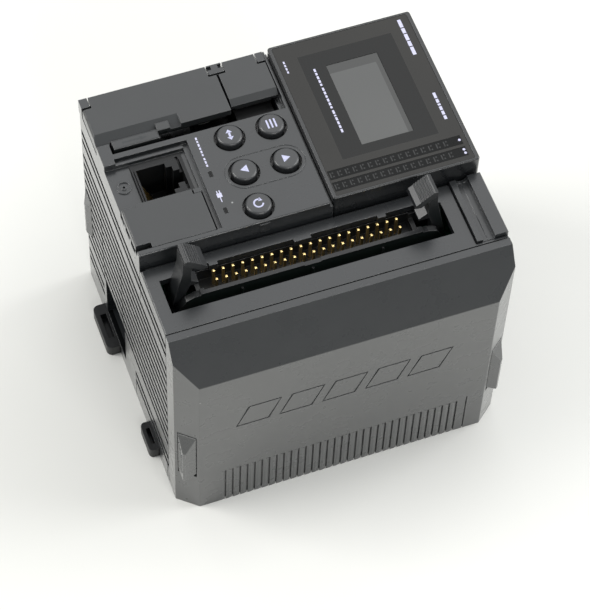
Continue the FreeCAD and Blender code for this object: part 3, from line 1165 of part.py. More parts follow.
def build():
    pin_spans = [(x0 - 0.1, x1 + 0.1) for x0, x1 in HINGE_PINS_X]
    case_spans = ((-43.7, -42.6), (-11.0, -9.9), (-7.9, -6.7), (2.2, 3.3))
    running = HINGE_R + 0.05
    yield "rear_case", rear_case()
    usb_bore = rod_y(HINGE_R, USB_HINGE_X, USB_HINGE_Z, USB_Y[0] - 0.7, USB_Y[1] + 0.2)
    case = bored(front_case(), HINGE_R, HINGE_LINE, HINGE_Z, case_spans)
    yield "front_case", cut(case, usb_bore)
    yield "connector_deck", connector_deck()
    yield "label_rail", label_rail()
    yield "display_housing", display_housing()
    yield "display_film", display_film()
    yield "lcd_panel", lcd_panel()
    yield "lcd_frame", lcd_frame()
    yield "display_board", display_board()
    yield "lamp_windows", strip_windows()
    yield "status_leds", status_leds()
    yield "display_plug", display_plug()
    for name, x, y in key_places():
        yield name, key_cap(x, y)
    yield "key_switches", key_switches()
    yield "light_pipes", light_pipes()
    yield "large_cover", bored(large_cover(), running, HINGE_LINE, HINGE_Z, pin_spans)
    yield "cover_latch", cover_latch()
    yield "card_cover", bored(card_cover(), running, HINGE_LINE, HINGE_Z, pin_spans)
    yield "cover_hinge_pins", cover_hinge_pins()
    usb_running = rod_y(running, USB_HINGE_X, USB_HINGE_Z, USB_Y[0] - 1, USB_Y[1] + 1)
    yield "usb_cover", cut(usb_cover(), usb_running)
    yield "usb_hinge_pin", usb_hinge_pin()
    yield "usb_socket", usb_socket()
    yield "usb_tongue", usb_tongue()
    yield "modular_jack", modular_jack()
    yield "jack_contacts", jack_contacts()
    yield "card_slot", card_slot()
    yield "battery_holder", battery_holder()
    yield "backup_battery", backup_battery()
    yield "mode_switch_body", mode_switch_body()
    yield "mode_slider", mode_slider()
    yield "header_housing", header_housing()
    yield "header_pins", header_pins()
    yield "ejector_upper", ejector()
    yield "ejector_lower", header_mirror(ejector())
    yield "front_board", board(FRONT_BOARD_Z)
    yield "processor_board", board(CPU_BOARD_Z)
    yield "power_board", board(POWER_BOARD_Z)
    yield "lower_posts", posts(CASE_FLOOR, POWER_BOARD_Z, 6.0)
    yield "middle_posts", posts(POWER_BOARD_Z + BOARD, CPU_BOARD_Z, 4.0)
    yield "upper_posts", posts(CPU_BOARD_Z + BOARD, FRONT_BOARD_Z, 4.0)
    yield "board_screws", board_screws()
    yield "case_screws", case_screws()
    yield "stack_connectors", [box(*STACK_X, *STACK_YS[0], POWER_BOARD_Z + BOARD, CPU_BOARD_Z),
                               box(*STACK_X, *STACK_YS[1], CPU_BOARD_Z + BOARD, FRONT_BOARD_Z)]
    yield "processor_chips", processor_chips()
    yield "power_parts", power_parts()
    yield "expansion_connector", expansion_connector()
    yield "expansion_contacts", expansion_contacts()
    yield "supply_connector", supply_connector()
    yield "end_cover", end_cover()
    yield "end_lock_lower", end_lock(-1)
    yield "end_lock_upper", end_lock(1)
    yield "far_lock_lower", far_lock(-1)
    yield "far_lock_upper", far_lock(1)
    yield "rail_latch", rail_latch()
    yield "small_latch", small_latch()


def main():
    os.makedirs(OUT, exist_ok=True)
    for name, shape in build():
        export(name, shape)


main()
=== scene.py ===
"""Looks of the programmable controller base unit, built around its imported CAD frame.

Lengths are written in millimetres and turned into metres by MM. The lights, the floor and the
camera's clipping distances are in metres. The axes are those of the CAD frame: +Z out of the
front panel, +X up when the unit is on its rail, -Y towards the end cover.
"""
import math

import bmesh
import bpy
from mathutils import Matrix, Vector


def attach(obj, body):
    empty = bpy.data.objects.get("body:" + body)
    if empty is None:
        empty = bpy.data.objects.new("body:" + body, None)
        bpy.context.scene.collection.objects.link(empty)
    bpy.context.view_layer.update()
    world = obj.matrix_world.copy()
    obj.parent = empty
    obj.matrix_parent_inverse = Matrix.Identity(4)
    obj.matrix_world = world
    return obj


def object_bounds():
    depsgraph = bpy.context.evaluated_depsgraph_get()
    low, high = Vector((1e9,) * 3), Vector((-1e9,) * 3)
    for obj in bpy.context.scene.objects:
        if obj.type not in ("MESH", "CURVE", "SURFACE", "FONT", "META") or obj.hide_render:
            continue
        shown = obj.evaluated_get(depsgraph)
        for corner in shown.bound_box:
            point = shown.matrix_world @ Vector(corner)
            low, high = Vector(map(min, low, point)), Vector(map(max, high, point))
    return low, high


MM = 0.001
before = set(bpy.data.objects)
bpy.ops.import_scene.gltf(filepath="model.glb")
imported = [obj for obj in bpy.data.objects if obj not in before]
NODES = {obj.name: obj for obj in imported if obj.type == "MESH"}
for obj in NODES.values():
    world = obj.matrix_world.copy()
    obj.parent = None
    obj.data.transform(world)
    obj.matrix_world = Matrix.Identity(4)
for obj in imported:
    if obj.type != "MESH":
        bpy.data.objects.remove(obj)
CAD_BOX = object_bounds()


# ---- camera and light ---------------------------------------------------------------------
VIEW_AZIMUTH = -22.27
VIEW_ELEVATION = 57.33
VIEW_ROLL = 3.0
VIEW_TARGET = (-3.09, -9.63, 27.0)
VIEW_DISTANCE = 671.0
LENS = 151.46
SENSOR = 36.0
CLIP = (0.01, 20.0)
WORLD_COLOUR = (0.95, 0.98, 1.0, 1.0)
WORLD_STRENGTH = 0.42
LIGHT_AIM = (0.0, 0.0, 0.03)
WHITE = (1.0, 1.0, 1.0)
WARM = (1.0, 0.99, 0.97)
# name, place, size, power in watts, colour
LIGHTS = (
    ("softbox", (0.27, 0.66, 1.05), (1.3, 1.0), 4.0, WHITE),
    ("left key", (-0.95, 0.35, 0.9), (0.7, 0.7), 10.5, WARM),
    ("right key", (1.1, -0.1, 0.9), (0.9, 0.9), 12.0, WHITE),
    ("near strip", (0.1, -1.0, 0.85), (0.6, 0.16), 4.2, WARM),
)


def make_camera():
    a, e, r = (math.radians(v) for v in (VIEW_AZIMUTH, VIEW_ELEVATION, VIEW_ROLL))
    back = Vector((math.sin(a) * math.cos(e), -math.cos(a) * math.cos(e), math.sin(e)))
    right = Vector((math.cos(a), math.sin(a), 0.0))
    up = back.cross(right)
    turned_right = right * math.cos(r) + up * math.sin(r)
    turned_up = up * math.cos(r) - right * math.sin(r)
    data = bpy.data.cameras.new("camera")
    data.lens = LENS
    data.sensor_width = SENSOR
    data.clip_start, data.clip_end = CLIP
    camera = bpy.data.objects.new("camera", data)
    place = (Vector(VIEW_TARGET) + back * VIEW_DISTANCE) * MM
    turn = Matrix((turned_right, turned_up, back)).transposed().to_4x4()
    camera.matrix_world = Matrix.Translation(place) @ turn
    bpy.context.scene.collection.objects.link(camera)
    bpy.context.scene.camera = camera


def area_light(name, place, size, power, colour):
    data = bpy.data.lights.new(name, "AREA")
    data.shape = "RECTANGLE"
    data.size, data.size_y = size
    data.energy = power
    data.color = colour
    light = bpy.data.objects.new(name, data)
    light.location = place
    light.rotation_mode = "QUATERNION"
    light.rotation_quaternion = (Vector(LIGHT_AIM) - Vector(place)).to_track_quat("-Z", "Y")
    bpy.context.scene.collection.objects.link(light)


def make_light():
    world = bpy.data.worlds.new("studio")
    world.use_nodes = True
    background = world.node_tree.nodes["Background"]
    background.inputs["Color"].default_value = WORLD_COLOUR
    background.inputs["Strength"].default_value = WORLD_STRENGTH
    bpy.context.scene.world = world
    for light in LIGHTS:
        area_light(*light)


# ---- material helpers ---------------------------------------------------------------------
NOISE_SPAN = (0.3, 0.7)
SPECK_FADE = (0.10, 0.05)
SPECK_STEP = 0.01
BEVEL_SAMPLES = 4
EDGE_TURN = (0.995, 0.80)
ACROSS = (0.3, 0.4)
MIX_FACTOR, MIX_FIRST, MIX_SECOND, MIX_RESULT = 0, 6, 7, 2


class Shader:
    """A material with a Principled surface, and short calls that add and join nodes."""

    def __init__(self, name):
        self.material = bpy.data.materials.new(name)
        self.material.use_nodes = True
        self.tree = self.material.node_tree
        self.surface = self.tree.nodes["Principled BSDF"]
        self.coords = self.tree.nodes.new("ShaderNodeTexCoord").outputs["Object"]

    def add(self, kind, **settings):
        node = self.tree.nodes.new(kind)
        for key, value in settings.items():
            setattr(node, key, value)
        return node

    def link(self, output, target):
        self.tree.links.new(output, target)

    def set(self, **values):
        for key, value in values.items():
            self.surface.inputs[key.replace("_", " ")].default_value = value

    def noise(self, scale, detail=2.0, rough=0.5, stretch=None):
        node = self.add("ShaderNodeTexNoise")
        node.inputs["Scale"].default_value = scale
        node.inputs["Detail"].default_value = detail
        node.inputs["Roughness"].default_value = rough
        source = self.coords
        if stretch:
            mapping = self.add("ShaderNodeMapping")
            mapping.inputs["Scale"].default_value = stretch
            self.link(source, mapping.inputs["Vector"])
            source = mapping.outputs["Vector"]
        self.link(source, node.inputs["Vector"])
        return node.outputs["Fac"]

    def ramp(self, source, stops):
        node = self.add("ShaderNodeValToRGB")
        ramp = node.color_ramp
        while len(ramp.elements) < len(stops):
            ramp.elements.new(0.5)
        for element, (position, colour) in zip(ramp.elements, stops):
            element.position = position
            element.color = (*colour, 1.0)
        self.link(source, node.inputs["Fac"])
        return node.outputs["Color"]

    def remap(self, source, low, high, to_low, to_high):
        node = self.add("ShaderNodeMapRange")
        for key, value in (("From Min", low), ("From Max", high), ("To Min", to_low), ("To Max", to_high)):
            node.inputs[key].default_value = value
        self.link(source, node.inputs["Value"])
        return node.outputs["Result"]

    def tones(self, noise, dark, light):
        return self.ramp(noise, ((NOISE_SPAN[0], dark), (NOISE_SPAN[1], light)))

    def spread(self, noise, low, high):
        return self.remap(noise, *NOISE_SPAN, low, high)

    def mix(self, factor, first, second, blend="MIX"):
        node = self.add("ShaderNodeMix", data_type="RGBA", blend_type=blend)
        for value, slot in ((factor, MIX_FACTOR), (first, MIX_FIRST), (second, MIX_SECOND)):
            if hasattr(value, "is_linked"):
                self.link(value, node.inputs[slot])
            elif slot == MIX_FACTOR:
                node.inputs[slot].default_value = value
            else:
                node.inputs[slot].default_value = (*value, 1.0)
        return node.outputs[MIX_RESULT]

    def specks(self, scale, threshold):
        """White dots on black: one in each cell, kept where the cell's own value is high."""
        cells = self.add("ShaderNodeTexVoronoi")
        cells.inputs["Scale"].default_value = scale
        self.link(self.coords, cells.inputs["Vector"])
        near = self.remap(cells.outputs["Distance"], *SPECK_FADE, 0.0, 1.0)
        pick = self.add("ShaderNodeSeparateColor")
        self.link(cells.outputs["Color"], pick.inputs["Color"])
        chosen = self.remap(pick.outputs["Red"], threshold, threshold + SPECK_STEP, 0.0, 1.0)
        return self.product(near, chosen)

    def bump(self, height, distance, strength=1.0, after=None):
        node = self.add("ShaderNodeBump")
        node.inputs["Distance"].default_value = distance
        node.inputs["Strength"].default_value = strength
        self.link(height, node.inputs["Height"])
        if after is not None:
            self.link(after, node.inputs["Normal"])
        return node.outputs["Normal"]

    def rounded(self, radius):
        """Surface normal that turns softly over the edges of the solid."""
        node = self.add("ShaderNodeBevel", samples=BEVEL_SAMPLES)
        node.inputs["Radius"].default_value = radius
        return node.outputs["Normal"]

    def edge_mask(self, radius, strength):
        """Up to strength close to an edge and 0 away from it, from how far the soft normal turns."""
        geometry = self.add("ShaderNodeNewGeometry")
        turned = self.add("ShaderNodeVectorMath", operation="DOT_PRODUCT")
        self.link(self.rounded(radius), turned.inputs[0])
        self.link(geometry.outputs["Normal"], turned.inputs[1])
        return self.remap(turned.outputs["Value"], *EDGE_TURN, 0.0, strength)

    def inside(self, limits):
        """1 inside the rectangle (x0, x1, y0, y1), given in millimetres, and 0 outside it."""
        x0, x1, y0, y1 = limits
        axes = self.add("ShaderNodeSeparateXYZ")
        self.link(self.coords, axes.inputs["Vector"])
        within_x = self.between(axes.outputs["X"], x0, x1)
        within_y = self.between(axes.outputs["Y"], y0, y1)
        return self.product(within_x, within_y)

    def product(self, first, second):
        node = self.add("ShaderNodeMath", operation="MULTIPLY")
        self.link(first, node.inputs[0])
        self.link(second, node.inputs[1])
        return node.outputs["Value"]

    def size_along(self, axis, vector):
        """Size of one component of a vector, without its sign."""
        axes = self.add("ShaderNodeSeparateXYZ")
        self.link(vector, axes.inputs["Vector"])
        node = self.add("ShaderNodeMath", operation="ABSOLUTE")
        self.link(axes.outputs[axis], node.inputs[0])
        return node.outputs["Value"]

    def between(self, value, low, high):
        """1 where a value in metres is from low to high millimetres, and 0 elsewhere."""
        node = self.add("ShaderNodeMath", operation="COMPARE")
        self.link(value, node.inputs[0])
        node.inputs[1].default_value = (low + high) / 2 * MM
        node.inputs[2].default_value = (high - low) / 2 * MM
        return node.outputs["Value"]

    def side_grooves(self, near, far, top):
        """1 within the grooves of both sides, near to far from the middle and below top; 0 elsewhere."""
        depth = self.between(self.size_along("X", self.coords), near, far)
        below = self.between(self.size_along("Z", self.coords), -top, top)
        facing = self.add("ShaderNodeTexCoord").outputs["Normal"]
        across = self.remap(self.size_along("Y", facing), *ACROSS, 1.0, 0.0)
        return self.product(self.product(depth, below), across)

    def mix_value(self, factor, first, second):
        return self.remap(factor, 0.0, 1.0, first, second)

    def colour(self, source):
        self.link(source, self.surface.inputs["Base Color"])

    def roughness(self, source):
        self.link(source, self.surface.inputs["Roughness"])

    def normal(self, source):
        self.link(source, self.surface.inputs["Normal"])


FINE_GRAIN = ((0.92,) * 3, (1.0,) * 3)
# painted highlight along the edges: there the colour becomes the plastic's colour times EDGE_GAIN plus
# EDGE_LIFT
EDGE_GAIN, EDGE_LIFT = 3.0, 0.16
DUST_SCALE, DUST_SHARE = 330.0, 0.035
DUST_COLOUR = (0.30, 0.31, 0.31)
ROUGH_BELOW, ROUGH_ABOVE = 0.03, 0.04
PLASTIC_IOR, PLASTIC_SPECULAR = 1.5, 0.5
# painted shade in the side slat grooves: colour scale, coat and specular used there
GROOVE_SHADE, GROOVE_COAT, GROOVE_SPECULAR = 0.2, 0.05, 0.1


def moulded(name, colour, rough=0.40, grain=0.002, tone=0.05, dust=1.0, edge=0.20, edge_light=0.5,
            coat=0.0, grooves=None):
    """Spark-eroded moulded plastic: fine grain, slow tone changes, specks of dust, a painted highlight
    along the edges and, where grooves are given, painted shade in the side grooves.
    """
    s = Shader(name)
    dark = tuple(c * (1 - tone) for c in colour)
    light = tuple(c * (1 + tone) for c in colour)
    base = s.tones(s.noise(38.0, 3.0, 0.55), dark, light)
    fine = s.tones(s.noise(1400.0, 2.0, 0.6), *FINE_GRAIN)
    base = s.mix(1.0, base, fine, "MULTIPLY")
    # painted highlight: close to the edges the colour is lifted, in place of the glints of rounded edges
    if edge_light:
        edge_highlight = tuple(c * EDGE_GAIN + EDGE_LIFT for c in colour)
        base = s.mix(s.edge_mask(edge * MM, edge_light), base, edge_highlight)
    if dust:
        base = s.mix(s.specks(DUST_SCALE, 1.0 - DUST_SHARE * dust), base, DUST_COLOUR)
    s.roughness(s.spread(s.noise(140.0, 3.0, 0.6), rough - ROUGH_BELOW, rough + ROUGH_ABOVE))
    softened = s.bump(s.noise(2600.0, 2.0, 0.6), grain * MM, 0.5, s.rounded(edge * MM))
    s.normal(softened)
    s.link(softened, s.surface.inputs["Coat Normal"])
    s.set(Specular_IOR_Level=PLASTIC_SPECULAR, Coat_Weight=coat, Coat_Roughness=rough, Coat_IOR=PLASTIC_IOR)
    # painted shade: the side grooves are painted darker and given less coat and specular, in place of the
    # shadow inside them
    if grooves:
        painted_groove_shade = s.side_grooves(*grooves)
        base = s.mix(painted_groove_shade, base, tuple(c * GROOVE_SHADE for c in colour))
        s.link(s.mix_value(painted_groove_shade, coat, GROOVE_COAT), s.surface.inputs["Coat Weight"])
        specular = s.mix_value(painted_groove_shade, PLASTIC_SPECULAR, GROOVE_SPECULAR)
        s.link(specular, s.surface.inputs["Specular IOR Level"])
    s.colour(base)
    return s.material


METAL_SHADE = 0.82
BRUSHED = (1.0, 12.0, 1.0)


def metal(name, colour, rough, scratch):
    """Plated metal with slow tone changes and fine scratches along one direction."""
    s = Shader(name)
    s.colour(s.tones(s.noise(240.0, 3.0, 0.6), tuple(c * METAL_SHADE for c in colour), colour))
    s.roughness(s.spread(s.noise(600.0, 3.0, 0.6), rough - 0.05, rough + 0.08))
    s.set(Metallic=1.0)
    s.normal(s.bump(s.noise(500.0, 2.0, 0.6, BRUSHED), scratch * MM, 0.6))
    return s.material


SOLDER_MASK = (
    ("Color1", (0.004, 0.035, 0.018, 1.0)),
    ("Color2", (0.005, 0.045, 0.022, 1.0)),
    ("Mortar", (0.010, 0.075, 0.035, 1.0)),
)


def circuit_board(name):
    """Green solder mask over traces, with a slight gloss."""
    s = Shader(name)
    cells = s.add("ShaderNodeTexBrick")
    cells.inputs["Scale"].default_value = 160.0
    cells.inputs["Mortar Size"].default_value = 0.06
    for socket, colour in SOLDER_MASK:
        cells.inputs[socket].default_value = colour
    s.link(s.coords, cells.inputs["Vector"])
    s.colour(cells.outputs["Color"])
    s.roughness(s.spread(s.noise(300.0, 2.0, 0.5), 0.28, 0.38))
    s.normal(s.bump(cells.outputs["Fac"], 0.03 * MM, 0.6))
    return s.material


# colours of the flat parts, where a pair is a dark and a light tone
FILM_BORDER = ((0.021, 0.0205, 0.0190), (0.027, 0.0262, 0.0240))
FILM_WINDOW = (0.0065, 0.0068, 0.0065)
FILM_SPECK = (0.13, 0.13, 0.125)
SCREEN_GREY = ((0.078, 0.080, 0.079), (0.090, 0.092, 0.090))
SCREEN_FRAME = (0.048, 0.049, 0.048)
SCREEN_ROWS = (0.05, 0.055, 0.05)
SMOKE = ((0.0055, 0.006, 0.006), (0.008, 0.0085, 0.0085))
INK_STOPS = (0.35, 0.6)
INK_SHADE = 0.80
PAPER = ((0.80, 0.80, 0.765), (0.83, 0.83, 0.80))


def overlay(name):
    """Smoked, glossy printed film with a lighter border and a darker window."""
    s = Shader(name)
    border = s.tones(s.noise(22.0, 3.0, 0.55), *FILM_BORDER)
    inside = s.inside(WINDOW)
    base = s.mix(inside, border, FILM_WINDOW)
    base = s.mix(s.specks(300.0, 0.985), base, FILM_SPECK)
    s.colour(base)
    s.roughness(s.mix_value(inside, 0.30, 0.20))
    s.normal(s.bump(s.noise(1900.0, 2.0, 0.6), 0.0016 * MM, 0.5, s.rounded(0.12 * MM)))
    s.set(Specular_IOR_Level=0.40)
    return s.material


def screen(name):
    """Unlit grey liquid-crystal screen: paler active area, thin frame and faint rows of dots."""
    s = Shader(name)
    base = s.tones(s.noise(18.0, 2.0, 0.5), *SCREEN_GREY)
    base = s.mix(s.inside(SCREEN), SCREEN_FRAME, base)
    rows = s.add("ShaderNodeTexWave", wave_type="BANDS", bands_direction="Y")
    rows.inputs["Scale"].default_value = 620.0
    s.link(s.coords, rows.inputs["Vector"])
    base = s.mix(s.mix_value(rows.outputs["Fac"], 0.0, 0.05), base, SCREEN_ROWS)
    s.colour(base)
    s.roughness(s.spread(s.noise(60.0, 2.0, 0.5), 0.16, 0.24))
    s.set(Specular_IOR_Level=0.5, Coat_Weight=0.2, Coat_Roughness=0.10)
    return s.material


def smoked(name):
    """Dark translucent strip over the lamps."""
    s = Shader(name)
    s.colour(s.tones(s.noise(90.0, 2.0, 0.5), *SMOKE))
    s.roughness(s.spread(s.noise(900.0, 2.0, 0.5), 0.24, 0.34))
    s.normal(s.bump(s.noise(1900.0, 2.0, 0.6), 0.002 * MM, 0.5))
    s.set(Specular_IOR_Level=0.18)
    return s.material


def ink(name, colour, rough=0.5):
    """Silk-screen ink: nearly flat colour with slightly uneven cover."""
    s = Shader(name)
    shades = (tuple(c * INK_SHADE for c in colour), colour)
    s.colour(s.ramp(s.noise(2200.0, 2.0, 0.6), tuple(zip(INK_STOPS, shades))))
    s.roughness(s.spread(s.noise(1500.0, 2.0, 0.5), rough - 0.06, rough + 0.06))
    return s.material


def paper_floor(name):
    """Pale, matt table top."""
    s = Shader(name)
    s.colour(s.tones(s.noise(5.0, 4.0, 0.6), *PAPER))
    s.roughness(s.spread(s.noise(30.0, 3.0, 0.6), 0.55, 0.70))
    s.normal(s.bump(s.noise(160.0, 3.0, 0.6), 0.05 * MM, 0.3))
    return s.material


def paint(nodes, material):
    """Give the material to every slot of the nodes named in one string."""
    for node in nodes.split():
        for slot in NODES[node].material_slots:
            slot.material = material


# nearest and furthest distance from the middle, and highest point, of the side grooves where shade is
# painted
SLAT_GROOVES = (43.6, 44.9, 64.8)
# x0, x1, y0, y1
WINDOW = (12.1, 37.9, 0.85, 34.85)
SCREEN = (18.2, 30.9, 3.8, 27.3)


def paint_nodes():
    case = moulded("case_plastic", (0.0130, 0.0150, 0.0166), 0.28, coat=1.0, grooves=SLAT_GROOVES)
    paint("rear_case front_case connector_deck label_rail end_cover", case)
    paint("large_cover card_cover usb_cover cover_latch",
          moulded("cover_plastic", (0.0160, 0.0180, 0.0190), 0.34, dust=1.6, coat=0.9))
    paint("display_housing",
          moulded("bezel_plastic", (0.0095, 0.0108, 0.0118), 0.26, edge_light=0.7, coat=0.8))
    paint("key_transfer key_menu key_down key_up key_return",
          moulded("key_rubber", (0.0200, 0.0215, 0.0235), 0.36, dust=0.6, edge=0.4, edge_light=0.3,
                  coat=1.0))
    paint("ejector_upper ejector_lower",
          moulded("lever_plastic", (0.0110, 0.0122, 0.0135), 0.34, edge=0.15, coat=0.6))
    paint("end_lock_lower end_lock_upper far_lock_lower far_lock_upper",
          moulded("lock_plastic", (0.0140, 0.0162, 0.0180), 0.26, dust=0.0, edge_light=0.8, coat=1.0))
    paint("rail_latch small_latch",
          moulded("latch_plastic", (0.0025, 0.0029, 0.0034), 0.42, dust=0.4, edge_light=0.15))
    paint("header_housing",
          moulded("header_plastic", (0.0060, 0.0068, 0.0076), 0.34, dust=0.8, edge=0.15, coat=0.3))
    paint("modular_jack card_slot battery_holder mode_switch_body key_switches expansion_connector "
          "supply_connector stack_connectors display_plug processor_chips usb_tongue",
          moulded("socket_plastic", (0.0050, 0.0055, 0.0060), 0.42, dust=0.4, edge=0.12))
    paint("mode_slider", moulded("slider_plastic", (0.50, 0.50, 0.47), 0.4, dust=0.0))
    paint("header_pins jack_contacts expansion_contacts", metal("gold", (0.95, 0.72, 0.32), 0.32, 0.004))
    paint("lcd_frame usb_socket cover_hinge_pins usb_hinge_pin board_screws case_screws",
          metal("steel", (0.62, 0.62, 0.60), 0.30, 0.006))
    paint("lower_posts middle_posts upper_posts", metal("brass", (0.70, 0.52, 0.26), 0.34, 0.004))
    paint("backup_battery", metal("battery_can", (0.70, 0.71, 0.72), 0.26, 0.004))
    paint("power_parts", moulded("part_sleeve", (0.020, 0.026, 0.042), 0.32, dust=0.0))
    paint("front_board processor_board power_board display_board", circuit_board("solder_mask"))
    paint("display_film", overlay("overlay_film"))
    paint("lcd_panel", screen("screen_glass"))
    paint("lamp_windows", smoked("lamp_window"))
    paint("light_pipes", smoked("pipe_window"))
    paint("status_leds", ink("lamp_body", (0.35, 0.06, 0.04), 0.4))


# ---- printing -----------------------------------------------------------------------------
def flat_piece(name, outlines, place, body, material):
    """One flat mesh from 2-D outlines, laid in the frame by place(u, v) and carried by body."""
    mesh = bpy.data.meshes.new(name)
    shape = bmesh.new()
    for outline in outlines:
        shape.faces.new([shape.verts.new(place(u, v)) for u, v in outline])
    bmesh.ops.recalc_face_normals(shape, faces=shape.faces)
    shape.to_mesh(mesh)
    shape.free()
    mesh.materials.append(material)
    piece = bpy.data.objects.new(name, mesh)
    bpy.context.scene.collection.objects.link(piece)
    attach(piece, body)


def on_top(x, y, z, turn=0.0):
    """Place flat outlines on an upward face: u runs along X and v along Y before the turn."""
    c, s = math.cos(math.radians(turn)), math.sin(math.radians(turn))
    return lambda u, v: Vector((x + u * c - v * s, y + u * s + v * c, z)) * MM


def rectangle(u0, u1, v0, v1):
    """Outline between two values of u and two values of v."""
    return [(u0, v0), (u1, v0), (u1, v1), (u0, v1)]


def disc(u, v, radius, steps=20):
    """Outline of a regular polygon close to a circle."""
    angles = [2 * math.pi * k / steps for k in range(steps)]
    return [(u + radius * math.cos(angle), v + radius * math.sin(angle)) for angle in angles]


def arc_strip(radius, width, start, end, steps=22):
    """Quads along an arc, in degrees."""
    inner, outer = radius - width / 2, radius + width / 2
    quads = []
    for k in range(steps):
        a, b = (math.radians(start + (end - start) * t / steps) for t in (k, k + 1))
        corners = ((inner, a), (outer, a), (outer, b), (inner, b))
        quads.append([(r * math.cos(angle), r * math.sin(angle)) for r, angle in corners])
    return quads


def bars(lengths, height, gap=0.32):
    """A line of plain bars in place of a printed caption. A length of SPACE parts two groups."""
    outlines, at = [], 0.0
    for length in lengths:
        outlines.append(rectangle(at, at + length, -height / 2, height / 2))
        at += length + gap
    return outlines


KEY_TOP = 71.9
PANEL_TOP = 70.5
FILM_TOP = 71.34
LAMP_TOP = 71.3
PIPE_TOP = 70.45
CATCH_TOP = 70.3
LIFT = 0.012
KEY_COLUMNS = (-12.4, -1.3)
KEY_ROWS = (16.8, 5.6, -5.25)
SPACE = 0.0
CAPTION_TURN = -90
# name, start of the line, height of the face, lengths of the bars, their height
CAPTIONS = (
    ("panel_caption", (-20.5, 19.6), PANEL_TOP,
     (0.8, 0.6, 0.9, 0.7, 0.8, 0.6, SPACE, 0.7, 0.8, 0.7), 0.45),
    ("card_caption", (8.3, 34.7), FILM_TOP, (0.8, 0.7, 0.8, 0.7), 0.45),
    ("window_caption", (15.0, 30.0), FILM_TOP,
     (1.0, 0.8, 1.0, 0.9, 0.7, SPACE, 1.0, 0.9, 0.8, 1.0, 0.9, 0.7, SPACE, 1.2, 0.5, 1.0, 1.0, 0.9, 1.1),
     0.55),
    ("maker_caption", (41.3, 38.2), FILM_TOP, (2.6, 1.7, 2.1, 1.7, 2.6), 0.95),
    ("type_caption", (41.3, 13.2), FILM_TOP, (1.8, 1.2, 0.6, 1.2, 1.2, 1.2), 0.75),
)
# the two lamp rows: position along Y and number of dots printed beside each
LAMP_ROWS = ((-2.75, 1), (-6.4, 2))
ROW_DOT_X, ROW_DOT_PITCH, ROW_DOT_R = 42.05, 1.1, 0.36
PORT_SYMBOL = (-20.5, 1.0)
LAMPS, LAMP_X, LAMP_PITCH = 16, 7.9, 2.03
PIPES = ((-20.5, 7.75), (-20.5, -3.85))
PIPE_DOT_HALF = (0.13, 0.2)
CATCH_ARROW = (-35.0, 24.1)


def key_symbols(material):
    double_arrow = [rectangle(-0.28, 0.28, -0.75, 0.75), [(-0.85, 0.65), (0.85, 0.65), (0.0, 1.65)],
                    [(0.85, -0.65), (-0.85, -0.65), (0.0, -1.65)]]
    menu = [rectangle(u - 0.22, u + 0.22, -1.35, 1.35) for u in (-1.0, 0.0, 1.0)]
    down = [[(0.9, 1.15), (-1.05, 0.0), (0.9, -1.15)]]
    up = [[(-0.9, -1.15), (1.05, 0.0), (-0.9, 1.15)]]
    turn = arc_strip(1.15, 0.42, 60, 345) + [[(0.10, 0.55), (1.15, 0.55), (0.62, 1.65)]]
    left, right = KEY_COLUMNS
    top, middle, low = KEY_ROWS
    symbols = (("key_transfer", left, top, double_arrow), ("key_menu", right, top, menu),
               ("key_down", left, middle, down), ("key_up", right, middle, up),
               ("key_return", left, low, turn))
    for name, x, y, outlines in symbols:
        flat_piece(name + "_symbol", outlines, on_top(x, y, KEY_TOP + LIFT), name, material)


def panel_printing(material):
    """Captions and marks of the panel and the film, as plain bars, dots and a plug."""
    for name, (x, y), z, lengths, height in CAPTIONS:
        flat_piece(name, bars(lengths, height), on_top(x, y, z + LIFT, CAPTION_TURN), "base", material)
    dots = [disc(0.0, y + (k - (count - 1) / 2) * ROW_DOT_PITCH, ROW_DOT_R)
            for y, count in LAMP_ROWS for k in range(count)]
    flat_piece("row_dots", dots, on_top(ROW_DOT_X, 0.0, FILM_TOP + LIFT), "base", material)
    plug = [rectangle(-0.65, 0.65, -0.7, 0.6), rectangle(-0.45, -0.2, 0.6, 1.4),
            rectangle(0.2, 0.45, 0.6, 1.4), rectangle(-0.11, 0.11, -2.2, -0.7)]
    flat_piece("port_symbol", plug, on_top(*PORT_SYMBOL, PANEL_TOP + LIFT), "base", material)


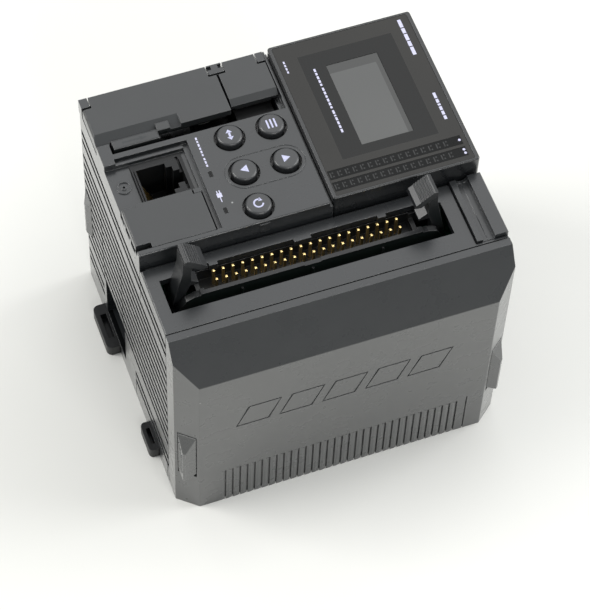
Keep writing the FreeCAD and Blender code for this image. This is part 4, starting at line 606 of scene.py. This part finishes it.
def lamp_marks(material):
    """A faint tick at each lamp of the two strips."""
    outlines = []
    for y, _ in LAMP_ROWS:
        for k in range(LAMPS):
            x = LAMP_X + LAMP_PITCH * k
            outlines += [rectangle(x - 0.55, x - 0.25, y - 0.75, y + 0.75),
                         rectangle(x + 0.05, x + 0.45, y - 0.75, y - 0.35),
                         rectangle(x + 0.05, x + 0.45, y + 0.35, y + 0.75)]
    flat_piece("lamp_marks", outlines, on_top(0.0, 0.0, LAMP_TOP + LIFT), "base", material)


def pipe_dots(material):
    """Six small dark marks on each light pipe of the panel."""
    half_x, half_y = PIPE_DOT_HALF
    centres = [(x + u, y + v) for x, y in PIPES for u in (-0.25, 0.25) for v in (-0.5, 0.0, 0.5)]
    outlines = [rectangle(x - half_x, x + half_x, y - half_y, y + half_y) for x, y in centres]
    flat_piece("pipe_dots", outlines, on_top(0.0, 0.0, PIPE_TOP + LIFT), "base", material)


def painted_highlight_arrow(material):
    """Arrow between two lines on the catch of the large cover, which shows how it slides. It is flat and
    painted lighter than the catch, a painted highlight in place of the light on a raised moulded arrow.
    """
    outlines = [rectangle(-3.4, 1.2, -0.24, 0.24), [(1.2, -0.75), (3.2, 0.0), (1.2, 0.75)],
                rectangle(-5.5, 5.4, 1.02, 1.16), rectangle(-5.5, 5.4, -1.16, -1.02)]
    flat_piece("catch_arrow", outlines, on_top(*CATCH_ARROW, CATCH_TOP + LIFT), "cover_latch", material)


# ---- scene --------------------------------------------------------------------------------
make_camera()
make_light()
paint_nodes()
white_ink = ink("white_ink", (0.62, 0.62, 0.80))
key_symbols(ink("key_ink", (0.55, 0.56, 0.76)))
panel_printing(white_ink)
lamp_marks(ink("grey_ink", (0.030, 0.031, 0.031)))
pipe_dots(ink("black_ink", (0.006, 0.006, 0.006)))
# the flat arrow is painted lighter than the catch: painted highlight in place of a moulded relief
painted_highlight_arrow(ink("arrow_painted_highlight", (0.045, 0.048, 0.050)))

FLOOR_HALF = 3.0
FLOOR_Z = CAD_BOX[0][2]
floor_corners = rectangle(-FLOOR_HALF, FLOOR_HALF, -FLOOR_HALF, FLOOR_HALF)
floor_mesh = bpy.data.meshes.new("floor")
floor_mesh.from_pydata([(x, y, FLOOR_Z) for x, y in floor_corners], [], [(0, 1, 2, 3)])
floor_mesh.materials.append(paper_floor("paper_floor"))
floor = bpy.data.objects.new("floor", floor_mesh)
bpy.context.scene.collection.objects.link(floor)

bpy.context.scene.view_settings.view_transform = "Standard"
